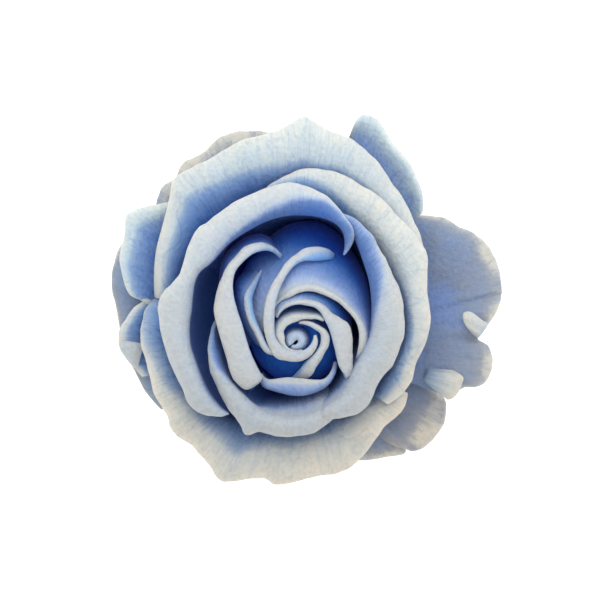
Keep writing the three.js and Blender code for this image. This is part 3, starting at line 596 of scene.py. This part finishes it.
petal(
    "lower_cup", root=(5.6, 17), bulge=1.6, lean=0, spread=(4, 3, 1, -0.5, 3, 6.5, 6.5, 6),
    top=43.6, fall=1.6, rise=2.0, roll=1.6, rim=0,
    ribs=[
        (166, 13.2, 166, 13.6, -3.4), (176, 13.2, 177, 14.1, -1.4), (190, 12.9, 189, 14.3, -0.2),
        (202, 12.6, 202, 14.7, 0), (214, 12.3, 214, 14.9, 0), (225, 12.1, 226, 15.4, 0),
        (234, 12.2, 235, 16.1, 0), (240, 12.3, 242, 17, -0.3), (246, 12.3, 247, 15.7, 0),
        (256, 12.2, 256, 15.6, 0), (268, 12, 268, 15.1, 0), (279, 11.7, 279, 14.9, 0),
        (288, 11.3, 288, 14.3, 0), (296, 11.1, 296, 13.7, -0.6), (303, 11.3, 303, 13.2, -1.6),
    ],
    # Over its last ribs the pale lip colour runs down into the bowl: painted light on the shaded
    # inner wall.
    dye=cup_dye, pale=(2.0, 1.75, 1.2, 1.1, 1.0, 0.9, 0.85, 0.85),
    crisp=(0.35, 0.35, 0.35, 0.35, 0.2, 0.05, 0, 0), wave=0.15, cells=(80, 24),
)

petal(
    "right_cup", root=(5.6, 17), bulge=2.8, lean=0.6, spread=(3, 3.6, 1.8, -0.8, -0.8),
    top=44.2, fall=0.8, rise=2.4, roll=2.6, rim=0,
    ribs=[
        (284, 12.3, 284, 12.8, -1), (291, 11.5, 291, 13.3, -0.3), (299, 11.2, 299, 14, 0),
        (307, 11, 307, 14.9, 0), (316, 10.7, 316, 15.2, 0), (327, 10.3, 327, 14.8, 0),
        (338, 10.2, 337, 14.8, 0), (349, 10.6, 347, 15.8, 0), (359, 11.3, 357, 16.6, 0),
        (368, 12, 367, 17.3, 0), (378, 12.7, 378, 17.9, 0), (390, 13.8, 390, 18.45, 0),
        (400, 15.1, 400, 19, 0), (409, 16.4, 409, 19.9, 0), (417, 18, 416, 20.9, -0.2),
        (425, 19.9, 424, 21.5, -1), (432, 21, 431, 21.8, -2.2),
    ],
    dye=cup_dye, pale=(1.0, 1.0, 1.05, 1.1, 1.12, 1.25, 1.75, 2.1, 2.2),
    crisp=(0.05, 0.05, 0.2, 0.35, 0.35, 0.3, 0.2, 0.2, 0.2), wave=0.15, cells=(80, 24),
)

petal(
    "upper_cup", root=(5.6, 16.4), bulge=3.3, lean=0.6, spread=-0.7,
    top=44.6, fall=0.6, rise=2.5, roll=2.6, rim=0,
    ribs=[
        (61.5, 15.6, 61, 16, -1.8), (63, 17, 60.5, 17.9, -1), (66, 18.6, 62.5, 19.6, -0.4),
        (70, 19.6, 67, 20.9, 0), (76, 20.1, 73, 22.3, 0), (82, 20.2, 80, 23.9, 0),
        (88, 20.2, 87, 24.9, 0), (95, 20.15, 94, 25.3, 0), (103, 19.9, 102, 25, 0),
        (111, 19.5, 111, 24.5, 0), (119, 19.2, 119, 24.05, 0), (126, 19, 126, 23.9, 0),
        (132, 18.7, 131, 24, 0), (138, 18.6, 137, 23.3, 0), (144, 19.1, 143, 22.3, 0),
        (149, 19, 149.5, 21.7, -0.1), (154, 18.5, 156, 22.1, -0.3), (159, 18, 161, 22.9, -0.5),
        (164, 17.6, 166, 23, -0.6), (169, 17.5, 170.5, 22.3, -0.7), (176, 17.3, 177, 21.6, -0.8),
        (184, 17, 185, 20.9, -0.8), (192, 16.5, 192, 20.4, -0.8), (200, 16.3, 200, 19.9, -0.8),
        (207, 16.25, 207, 20, -0.8), (214, 16.2, 213, 19.75, -0.8), (221, 16.1, 219, 18.7, -1.2),
        (227, 15.9, 225, 17.1, -1.8),
    ],
    dye=cup_dye, pale=(2.0, 2.0, 1.65, 1.36, 1.2, 1.1, 1.1, 1.14, 1.25, 1.25), wave=0.15,
    cells=(130, 24),
)

# Outer rings: one petal of the second ring and two wide ones outside it, thin dyed blades
# rooted lower on the receptacle and opened further. Their veined lips shade from blue in the
# fold to cream at the rim.
RING_FACE_STOPS = [
    (0.0, "#2058B0"), (0.22, "#4474B8"), (0.45, "#7A98C2"), (0.62, "#9AAEC6"), (0.8, "#B8C4CD"),
    (1.0, "#D0D2CD"),
]
RING_BACK_STOPS = [(0.0, "#8795A8"), (0.4, "#94A8CA"), (0.75, "#ACBCD2"), (1.0, "#C2C8CC")]
ring_dye = (
    petal_material(
        "dyed petal, outer ring, inner side", "tone", RING_FACE_STOPS, vein_depth=0.2,
        # Painted shade at the front of the head, with a warm tint.
        roughness=0.66, streaks=0.05, front_shade_and_tint="#FFF0E0",
    ),
    petal_material(
        "dyed petal, outer ring, outer side", "back_tone", RING_BACK_STOPS, vein_depth=0.2,
        roughness=0.66,
    ),
)

petal(
    "second_ring", root=(6, 15.2), bulge=3.6, lean=0.6, spread=0.2,
    top=40.8, fall=1.8, rise=4.2, roll=2.6, rim=0.1,
    ribs=[
        (104, 22.6, 103, 24.4, -1.2), (97, 22.8, 98, 25.8, -0.4), (90, 22.8, 91, 27.1, 0),
        (83, 22.4, 84, 27.85, 0), (76, 21.8, 77, 27.7, 0), (69, 21.2, 69, 27.15, 0),
        (62, 20.6, 62, 26.7, 0), (54, 19.9, 54, 25.95, 0), (46, 19.2, 46, 25.6, 0),
        (40, 18.7, 40, 25.2, 0), (34, 18.2, 34, 25.2, 0), (28, 17.9, 28, 23.6, 0),
        (19, 17.5, 19, 22, 0), (9, 17.1, 9, 21.6, 0), (0, 16.6, 0, 20.6, 0),
        (-9, 15.9, -9, 19.5, 0), (-18, 15.2, -18, 19.4, 0), (-27, 14.9, -27, 18.7, -0.4),
        (-35, 15, -35, 17.6, -1.2),
    ],
    dye=ring_dye, pale=(1.95, 1.68, 1.3, 1.15, 1.4, 1.6, 1.65), crisp=0.35, wave=0.18,
    cells=(80, 26),
)

petal(
    "back_outer", root=(6.4, 14.4), bulge=4.2, lean=0.6, spread=1,
    top=37.6, fall=2.4, rise=5, roll=2.4, rim=0.15,
    ribs=[
        (35, 20.6, 35, 24.8, -0.8), (42, 21.6, 42, 26.3, -0.2), (50, 22.3, 50, 27.7, 0),
        (58, 23, 58, 29.4, 0), (65, 23.5, 65, 31.2, 0), (72, 24, 72, 33, 0),
        (79, 24.3, 79, 33.9, 0), (84, 24.4, 84, 34.7, 0), (88, 24.4, 88, 36.1, -0.2),
        (92, 24.4, 92, 34.7, 0), (98, 24.2, 98, 33.7, 0), (106, 23.9, 106, 33.2, 0),
        (114, 23.6, 114, 32.6, 0), (121, 23.2, 121, 32.4, 0), (127, 22.9, 127, 32.8, 0),
        (132, 22.7, 132, 30.7, 0), (139, 22.4, 139, 28.6, 0), (147, 21.9, 147, 27, 0),
        (155, 21.3, 155, 25.4, -0.4), (163, 20.6, 163, 24, -1.6),
    ],
    # Its blue runs out from under the upper cup's edge, partly dye and partly painted shade beneath
    # that edge.
    dye=ring_dye, pale=(1.5, 1.5, 1.48, 1.66, 1.6), crisp=0.35, wave=0.2, cells=(96, 30),
)

petal(
    "front_outer", root=(6.4, 14.2), bulge=4.2, lean=0, spread=1.2,
    top=37, fall=2.2, rise=4.6, roll=3, rim=0.1,
    ribs=[
        (163, 20.4, 163, 23.6, -2.4), (169, 20.2, 169, 25, -0.8), (176, 19.9, 176, 25.1, 0),
        (184, 19.5, 184, 24.8, 0), (193, 18.9, 193, 24.3, 0), (203, 18.3, 203, 24.3, 0),
        (210, 17.9, 210, 24.1, 0), (217, 17.4, 217, 24.6, 0), (225, 16.7, 225, 23.9, 0),
        (233, 15.9, 233, 24.1, 0), (239, 15.3, 239, 25.3, 0), (244, 14.8, 244, 25.1, 0),
        (250, 14.4, 250, 23.7, 0), (256, 14, 256, 22.7, 0), (263, 13.7, 263, 23.2, 0),
        (272, 13.5, 272, 22.3, 0), (282, 13.3, 282, 22, 0), (291, 13.1, 291, 22, 0),
        (300, 13.1, 300, 21.2, 0), (309, 13.4, 309, 20.1, 0), (318, 13.9, 318, 19.8, 0),
        (327, 14.6, 327, 20.1, -0.3), (335, 15.5, 335, 19.5, -1.4),
    ],
    # Its blue reaches well out from the fold under the cup, partly dye and partly painted shade of
    # the cup.
    dye=ring_dye, pale=(2.1, 1.95, 1.75, 1.5, 1.55, 1.6, 1.5, 1.45, 1.4, 1.4, 1.4, 1.45),
    crisp=0.2, wave=0.22, cells=(110, 30),
)

# Guard petals: the oldest blades, rooted lowest on the receptacle, bent back and crumpled, most
# of them greyer than the rest, with rims dried to a warm cream. The three small folds are bits
# of those rims that turned over as they dried, and grow out of the guards' lips.
# The deepest stop, at a guard's base, is lifted lighter and bluer: painted light against the shade
# of the ring above it.
GUARD_FACE_STOPS = [
    (0.0, "#8098C2"), (0.25, "#8695AC"), (0.5, "#8A93A2"), (0.68, "#92969D"), (0.8, "#9D9D9F"),
    (0.9, "#AEABA7"), (1.0, "#C2BAAE"),
]
GUARD_BACK_STOPS = [(0.0, "#8E9C7E"), (0.3, "#98A5B0"), (0.75, "#A9B5C4"), (1.0, "#C6BFB2")]
guard_dye = (
    petal_material(
        "dyed petal, guard, inner side", "tone", GUARD_FACE_STOPS, vein_depth=0.3, roughness=0.68,
        # Painted shade at the front of the head, with a warm tint.
        streaks=0.05, cloudy=0.22, front_shade_and_tint="#FFFAF4",
    ),
    petal_material(
        "dyed petal, guard, outer side", "back_tone", GUARD_BACK_STOPS, vein_depth=0.25,
        roughness=0.68,
    ),
)

petal(
    "tall_guard", root=(6.6, 13.4), bulge=5, lean=0, spread=3,
    top=33.6, fall=1, rise=3.8, roll=0.8, rim=0.9,
    ribs=[
        (78, 28, 76, 33, -2.2), (77.2, 29.2, 75.4, 34.4, -1.2), (76.4, 30, 75.3, 35.6, -0.4),
        (75.4, 30.6, 75, 36.7, 0), (74, 31, 74.4, 37.4, 0.1), (72.6, 31, 73.3, 37.9, 0.2),
        (71, 30.8, 71.4, 38, 0.2), (69, 30.4, 69.6, 37.7, 0.2), (66.5, 29.9, 67.4, 36.8, 0.1),
        (63.5, 29.3, 64.7, 35.5, 0), (60, 28.7, 61, 34.45, 0), (57, 28.2, 57.6, 33.75, 0),
        (54, 27.6, 54.1, 32.6, -0.1), (51, 27, 50.8, 31.5, -0.4), (48.5, 26.4, 47.9, 30.1, -1),
        (46, 25.6, 45.6, 28.8, -2),
    ],
    dye=ring_dye, pale=1.5, crisp=0.1, wave=0.12, cells=(80, 28),
)

petal(
    "right_guard", root=(6.6, 13), bulge=5.4, lean=0, spread=3.4,
    top=30.6, fall=1, rise=3, roll=1.4, rim=0.6,
    ribs=[
        (49, 23, 47.5, 27.2, -1.6), (45, 23, 45.5, 28.4, -0.8), (42, 23, 42.5, 29.7, -0.2),
        (39, 22.6, 39.4, 30.9, 0.2), (35.5, 22.4, 35.2, 31.9, 0.4), (32, 22.2, 32.2, 33.1, 0.5),
        (29, 22, 29.6, 33.7, 0.4), (25.5, 21.6, 25.7, 34.3, 0.3), (22, 21.4, 22.1, 34.5, 0.1),
        (18, 21, 17.6, 34.4, 0), (14.5, 20.6, 14.6, 34, 0.3), (12.5, 20.4, 13, 33.7, -0.3),
        (11, 20.2, 11.2, 33.3, 0), (8.8, 20, 8.8, 32.5, 0.6), (6, 19.8, 6, 31.4, 0.4),
        (3, 19.4, 3.5, 30.2, 0.2), (1, 19, 1.1, 29.2, -0.6), (-0.5, 18.9, 0.2, 29.3, -0.4),
        (-1.5, 18.8, -1.2, 30.5, 0.2), (-4, 18.6, -3.8, 31.4, 0.4), (-7, 18.4, -6.7, 31.7, 0.3),
        (-10, 18, -9.7, 31.5, 0.3), (-12.5, 17.8, -12.6, 30.8, 0.2),
        (-14.5, 17.6, -14.4, 29.6, 0), (-16, 17.4, -15.4, 28, -0.6), (-18, 17.2, -17.5, 27, -0.8),
        (-20, 17, -20.2, 26.2, -1.2),
    ],
    dye=guard_dye, pale=1.82, crisp=0.35, held=0.1, wave=0.12, cells=(160, 30),
)

petal(
    "folded_rim", root=(27.6, 29), bulge=7, lean=0, spread=0,
    top=32, fall=0.6, rise=0.8, roll=0.3, rim=0,
    ribs=[
        (5, 30.6, 9.4, 28.4, -0.2), (4.3, 30.4, 9.9, 27.3, 0.1), (3.5, 30, 8.6, 26.8, 0.2),
        (2.7, 29.7, 6.2, 26.9, 0.1), (2, 29.4, 4, 27.5, 0), (1.2, 29, 1.8, 28.5, -0.8),
    ],
    dye=ring_dye, pale=1.05, wave=0.05, cells=(24, 24),
)

petal(
    "turned_rim", root=(19.5, 25.5), bulge=5, lean=0, spread=0,
    top=31.1, fall=0.5, rise=0.5, roll=0.5, rim=0,
    ribs=[
        (-11.5, 23.3, -10.6, 25.2, -0.6), (-13, 21.8, -12, 27.2, 0), (-15, 21.6, -15, 27.3, 0.2),
        (-17, 21.5, -18, 27, 0.2), (-18.5, 22.6, -20.2, 26.6, 0.1), (-19.8, 24, -21.3, 26, -0.2),
    ],
    dye=ring_dye, pale=1.6, crisp=0.1, wave=0.12, cells=(32, 24),
)

petal(
    "lower_right_guard", root=(6.8, 12.7), bulge=5.8, lean=0, spread=3.8,
    top=27.4, fall=1, rise=4.4, roll=2, rim=0.3,
    ribs=[
        (-17, 16.6, -18.5, 23.5, -1), (-21, 16.8, -21.5, 25.6, 0), (-25, 17, -25, 26.5, 0.2),
        (-29, 17, -29, 27, 0.2), (-33, 17, -33, 27.15, 0), (-37, 17, -37, 27, -0.1),
        (-41, 16.8, -41, 26.6, 0), (-43.5, 16.6, -43.8, 25.6, 0), (-46, 16.2, -45.5, 24.2, -0.6),
        (-50, 15.8, -49, 22.8, -1),
    ],
    dye=guard_dye, pale=1.65, crisp=0.3, wave=0.12, cells=(80, 26),
)

petal(
    "front_guard", root=(6.8, 12.4), bulge=6, lean=0, spread=4,
    top=25.4, fall=1, rise=4, roll=2, rim=0.3,
    ribs=[
        (-42, 16.2, -43, 23.6, -0.6), (-45, 16.2, -45.2, 24.8, 0), (-46.8, 16.1, -46.8, 25.1, 0),
        (-51.5, 16, -51.5, 23.9, 0), (-57, 15.6, -57, 22.7, 0), (-62.3, 15.2, -62.3, 21.7, 0),
        (-69, 14.8, -69, 20.6, -0.6), (-76, 14.4, -76, 19.6, -1.4),
    ],
    dye=guard_dye, pale=1.8, crisp=0.1, wave=0.12, cells=(64, 24),
)

petal(
    "back_guard", root=(6.8, 13), bulge=5.4, lean=0, spread=3.4,
    top=31.4, fall=2.4, rise=4.6, roll=1.6, rim=0.4,
    ribs=[
        (88, 25, 90, 31, -1), (94, 25.6, 95, 32.8, 0), (99, 25.8, 99, 34, 0),
        (105, 25.8, 105, 35, 0), (111, 25.6, 111, 34.85, 0), (117, 25.2, 117, 33.9, 0),
        (122, 25, 122, 33.9, 0), (127, 24.6, 127, 32.6, 0), (133, 24, 132, 30.6, -0.8),
    ],
    dye=guard_dye, pale=1.3, wave=0.2, cells=(80, 26),
)

petal(
    "corner_guard", root=(6.8, 12.6), bulge=5.6, lean=0, spread=3.6,
    top=28.8, fall=1.6, rise=4.2, roll=1.6, rim=0.4,
    ribs=[
        (120, 24.2, 121, 30.6, -0.6), (125, 24.4, 125, 32.2, 0), (130, 24.2, 130, 33, 0),
        (134, 23.8, 134, 32.2, 0), (139, 23.4, 139, 30.4, 0), (145, 22.8, 145, 28.4, -0.8),
    ],
    dye=guard_dye, pale=1.5, wave=0.1, cells=(48, 24),
)

petal(
    "left_guard", root=(6.6, 13.2), bulge=5.2, lean=0, spread=3.2,
    top=33.4, fall=1.2, rise=4, roll=0.9, rim=0.85,
    ribs=[
        (128, 23.6, 130, 29.2, -1.2), (132, 23.6, 133.3, 30.5, -0.3),
        (135.5, 23.5, 135.8, 31.4, 0), (138.5, 23.4, 138.5, 32.6, 0.1),
        (141.5, 23.2, 141.6, 33.7, 0.2), (144, 22.9, 143.8, 34, 0.2), (147, 22.6, 146.8, 33, 0.1),
        (150, 22.3, 149.8, 32.2, 0), (154, 21.9, 154.1, 31.6, 0), (157.5, 21.6, 156.8, 30.9, 0),
        (161, 21.2, 159.4, 30, 0), (164, 21, 162.5, 28.9, 0), (166.5, 20.8, 164.4, 27.9, 0),
        (168.5, 20.6, 164.9, 26.7, -0.2), (170, 20.5, 164.2, 25.6, -0.5),
        (171.5, 20.4, 163.2, 24.4, -1.6),
    ],
    dye=ring_dye, pale=(1.5, 1.7, 1.85, 1.8), crisp=0.2, wave=0.08, cells=(96, 28),
)

petal(
    "pinched_guard", root=(6.6, 12.9), bulge=5.2, lean=0, spread=3.2,
    top=31.8, fall=1.2, rise=4.2, roll=0.9, rim=0.7,
    ribs=[
        (161, 20.8, 162.6, 24.3, -0.6), (163.5, 20.8, 164.2, 24.8, -0.2),
        (166, 20.8, 165.8, 25.6, 0), (169, 20.8, 168.7, 26.8, 0.1),
        (172.5, 20.8, 172.8, 27.8, 0.2), (176, 20.8, 175.9, 28.5, 0.2),
        (179.7, 20.6, 179.7, 28.7, 0.1), (183, 20.4, 182.8, 28.4, 0),
        (186, 20.2, 185.8, 27.7, -0.2), (189.5, 20, 189.6, 26.5, -0.6),
        (193, 19.8, 193, 25.6, -1.4),
    ],
    dye=ring_dye, pale=1.82, crisp=0.45, wave=0.08, cells=(80, 26),
)

petal(
    "side_fold", root=(25.5, 29.6), bulge=6.5, lean=0, spread=0,
    top=31.6, fall=0.4, rise=0.8, roll=0.5, rim=0,
    ribs=[
        (179.6, 28.6, 181, 24.6, 0), (181.6, 28.4, 182.6, 24.7, 0.1), (184, 27.9, 184.6, 25, 0.1),
        (186.6, 27.2, 186.8, 25.4, 0), (189, 26.4, 189, 25.8, -0.5),
    ],
    dye=ring_dye, pale=1.2, wave=0.05, cells=(24, 24),
)

petal(
    "under_guard", root=(6.8, 12.5), bulge=5.8, lean=0, spread=3.8,
    top=27.6, fall=1.8, rise=4.4, roll=1.8, rim=0.4,
    ribs=[
        (146, 23.4, 147.5, 31.6, -0.4), (152, 23.4, 152, 32.3, 0), (158, 23.2, 158, 32, 0),
        (164, 22.8, 164, 31, 0), (170, 22.4, 170, 29.6, 0), (177, 21.8, 177, 28.5, 0),
        (184, 21.2, 184, 27.7, 0), (191, 20.6, 191, 26.6, 0), (199, 20, 199, 25.6, -0.2),
        (207, 19.4, 207, 24.5, -0.8),
    ],
    dye=guard_dye, pale=1.93, wave=0.1, cells=(80, 24),
)

# Calyx: the green foot of the flower, grown as one with the receptacle: the swollen hip on its
# short stub, cut flat across, and five leafy sepals that bend down from it until their tips
# all but touch the surface. Its living skin is waxy, with fine lengthwise ribs.
HIP_PROFILE = [
    (0, 0), (2.3, 0), (2.55, 0.15), (2.6, 3.2), (3.5, 4.3), (4.8, 5.7), (5.5, 7.4), (5.9, 9.2),
    (6.7, 10.6), (6.8, 11.2), (0, 11.35),
]
SEPAL_TURN = 18.0
# How far each sepal's tip reaches from the stem. A sepal springs from the hip, arches over a
# shoulder and comes down to a knee just above the surface: radius and height of each.
SEPAL_REACH = (17.5, 16.3, 17.1, 16.7, 16.9)
SEPAL_SPRING = (5.6, 9.9)
SEPAL_SHOULDER = (13.5, 12.2)
SEPAL_KNEE_RADIUS = 11.5
SEPAL_HALF_WIDTH = ((3.25,), (3.0,), (2.9,), (2.5,), (2.1,), (1.5,), (0.35,))
SEPAL_THICKNESS = 0.7
SEPAL_CUP = 0.7
SEPAL_CELLS = (10, 36)
TIP_CLEARANCE = 0.05
CALYX_STOPS = [(0.0, "#55703A"), (0.5, "#6F8A4C"), (1.0, "#93A66A")]
MOTTLES_PER_MM = 0.33
RIBS_PER_MM = 2.0
RIB_STRETCH = 0.15
RIB_DEPTH = 0.1


def calyx_material():
    """Living green skin of the calyx, under a dull wax, mottled and finely ribbed."""
    material = bpy.data.materials.new("waxy green calyx")
    material.use_nodes = True
    tree = material.node_tree
    tree.nodes.clear()
    place = add_node(tree, "ShaderNodeTexCoord").outputs["Object"]
    # Mottling about 3 mm across, and ribs about 0.5 mm apart drawn up and down.
    mottle = add_node(tree, "ShaderNodeTexNoise", {
        "Vector": place, "Scale": MOTTLES_PER_MM / MM, "Detail": 4.0,
    })
    drawn = add_node(tree, "ShaderNodeMapping", {"Vector": place, "Scale": (1.0, 1.0, RIB_STRETCH)})
    ribs = add_node(tree, "ShaderNodeTexNoise", {
        "Vector": drawn.outputs["Vector"], "Scale": RIBS_PER_MM / MM,
    })
    relief = add_node(tree, "ShaderNodeBump", {
        "Strength": 0.5, "Distance": RIB_DEPTH * MM, "Height": ribs.outputs["Fac"],
    })
    shader = add_node(tree, "ShaderNodeBsdfPrincipled", {
        "Base Color": ramp(tree, mottle.outputs["Fac"], CALYX_STOPS), "Roughness": 0.5, "IOR": 1.4,
        "Subsurface Weight": 0.1, "Subsurface Radius": (0.5, 1.0, 0.3), "Subsurface Scale": 0.001,
        "Normal": relief.outputs["Normal"],
    })
    add_node(tree, "ShaderNodeOutputMaterial", {"Surface": shader.outputs["BSDF"]})
    return material


calyx_green = calyx_material()
hip_mesh = turned(HIP_PROFILE, RECEPTACLE_SIDES)
bmesh.ops.translate(hip_mesh, vec=(STEM_AXIS.x, STEM_AXIS.y, 0), verts=hip_mesh.verts)
set_piece("hip", hip_mesh, [calyx_green], "calyx")

for number, reach in enumerate(SEPAL_REACH):
    bm = bmesh.new()
    bmesh.ops.create_grid(bm, x_segments=SEPAL_CELLS[0], y_segments=SEPAL_CELLS[1], size=1)
    low = 0.5 * SEPAL_THICKNESS + TIP_CLEARANCE
    stations = (SEPAL_SPRING, SEPAL_SHOULDER, (SEPAL_KNEE_RADIUS, low), (reach, low))
    path = [Vector((radius, 0, height)) for radius, height in stations]
    for vert in bm.verts:
        side, share = vert.co.x, 0.5 * (vert.co.y + 1)
        half = between(SEPAL_HALF_WIDTH, share * (len(SEPAL_HALF_WIDTH) - 1))[0]
        point = bezier(path, share)
        cup = SEPAL_CUP * side * side * (1 - share) ** 2
        vert.co = Vector((point.x - cup, half * side, point.z - cup))
    turn = math.radians(SEPAL_TURN + 360 / len(SEPAL_REACH) * number)
    bmesh.ops.rotate(bm, cent=(0, 0, 0), matrix=Matrix.Rotation(turn, 3, "Z"), verts=bm.verts)
    bmesh.ops.translate(bm, vec=(STEM_AXIS.x, STEM_AXIS.y, 0), verts=bm.verts)
    sepal = set_piece(f"sepal_{number + 1}", bm, [calyx_green], "calyx")
    leaf = sepal.modifiers.new("leaf", "SOLIDIFY")
    leaf.thickness = SEPAL_THICKNESS * MM
    leaf.offset = 0
    soften = sepal.modifiers.new("soft", "SUBSURF")
    soften.levels = soften.render_levels = 1

# Floor: a plain sheet of white paper on a light table, wide enough to fill every view.
FLOOR_HALF = 2.0
PAPER_GLOW = 0.4
paper = bpy.data.materials.new("matte white paper")
paper.use_nodes = True
paper_shader = paper.node_tree.nodes["Principled BSDF"]
paper_shader.inputs["Base Color"].default_value = linear("#FBFBFB")
paper_shader.inputs["Roughness"].default_value = 0.9
paper_shader.inputs["Emission Color"].default_value = linear("#FFFFFF")
paper_shader.inputs["Emission Strength"].default_value = PAPER_GLOW
floor_mesh = bmesh.new()
bmesh.ops.create_grid(floor_mesh, x_segments=1, y_segments=1, size=FLOOR_HALF)
floor_data = bpy.data.meshes.new("floor")
floor_mesh.to_mesh(floor_data)
floor_mesh.free()
floor_data.materials.append(paper)
floor = bpy.data.objects.new("floor", floor_data)
bpy.context.scene.collection.objects.link(floor)

# Light: an even white room, and high up behind the head a softbox, drawn as a sun lamp whose
# light spreads over LAMP_SPREAD degrees.
ROOM_STRENGTH = 0.9
LAMP_STRENGTH = 1.45
LAMP_SPREAD = 60.0
LAMP_PLACE = Vector((0.05, 0.75, 1.2))
world = bpy.data.worlds.new("studio")
world.use_nodes = True
room = world.node_tree.nodes["Background"]
room.inputs["Color"].default_value = linear("#FAF9F7")
room.inputs["Strength"].default_value = ROOM_STRENGTH
bpy.context.scene.world = world
lamp_data = bpy.data.lights.new("softbox", "SUN")
lamp_data.energy = LAMP_STRENGTH
lamp_data.angle = math.radians(LAMP_SPREAD)
lamp = bpy.data.objects.new("softbox", lamp_data)
lamp.location = LAMP_PLACE
lamp.rotation_mode = "QUATERNION"
lamp.rotation_quaternion = (-LAMP_PLACE).to_track_quat("-Z", "Y")
bpy.context.scene.collection.objects.link(lamp)
bpy.context.scene.view_settings.view_transform = "Standard"

# Camera: straight above, far off with a long lens, so that the head is seen as a plan. The
# view is 96 mm wide at the height of the cup's lips.
CAMERA_PLACE = (-0.00104, 0.00008, 2.0)
LIP_HEIGHT = 0.036
VIEW_WIDTH = 0.096
SENSOR_WIDTH = 36.0
camera_data = bpy.data.cameras.new("camera")
camera_data.sensor_width = SENSOR_WIDTH
camera_data.lens = SENSOR_WIDTH * (CAMERA_PLACE[2] - LIP_HEIGHT) / VIEW_WIDTH
camera_data.clip_end = 10.0
camera = bpy.data.objects.new("camera", camera_data)
camera.location = CAMERA_PLACE
bpy.context.scene.collection.objects.link(camera)
bpy.context.scene.camera = camera
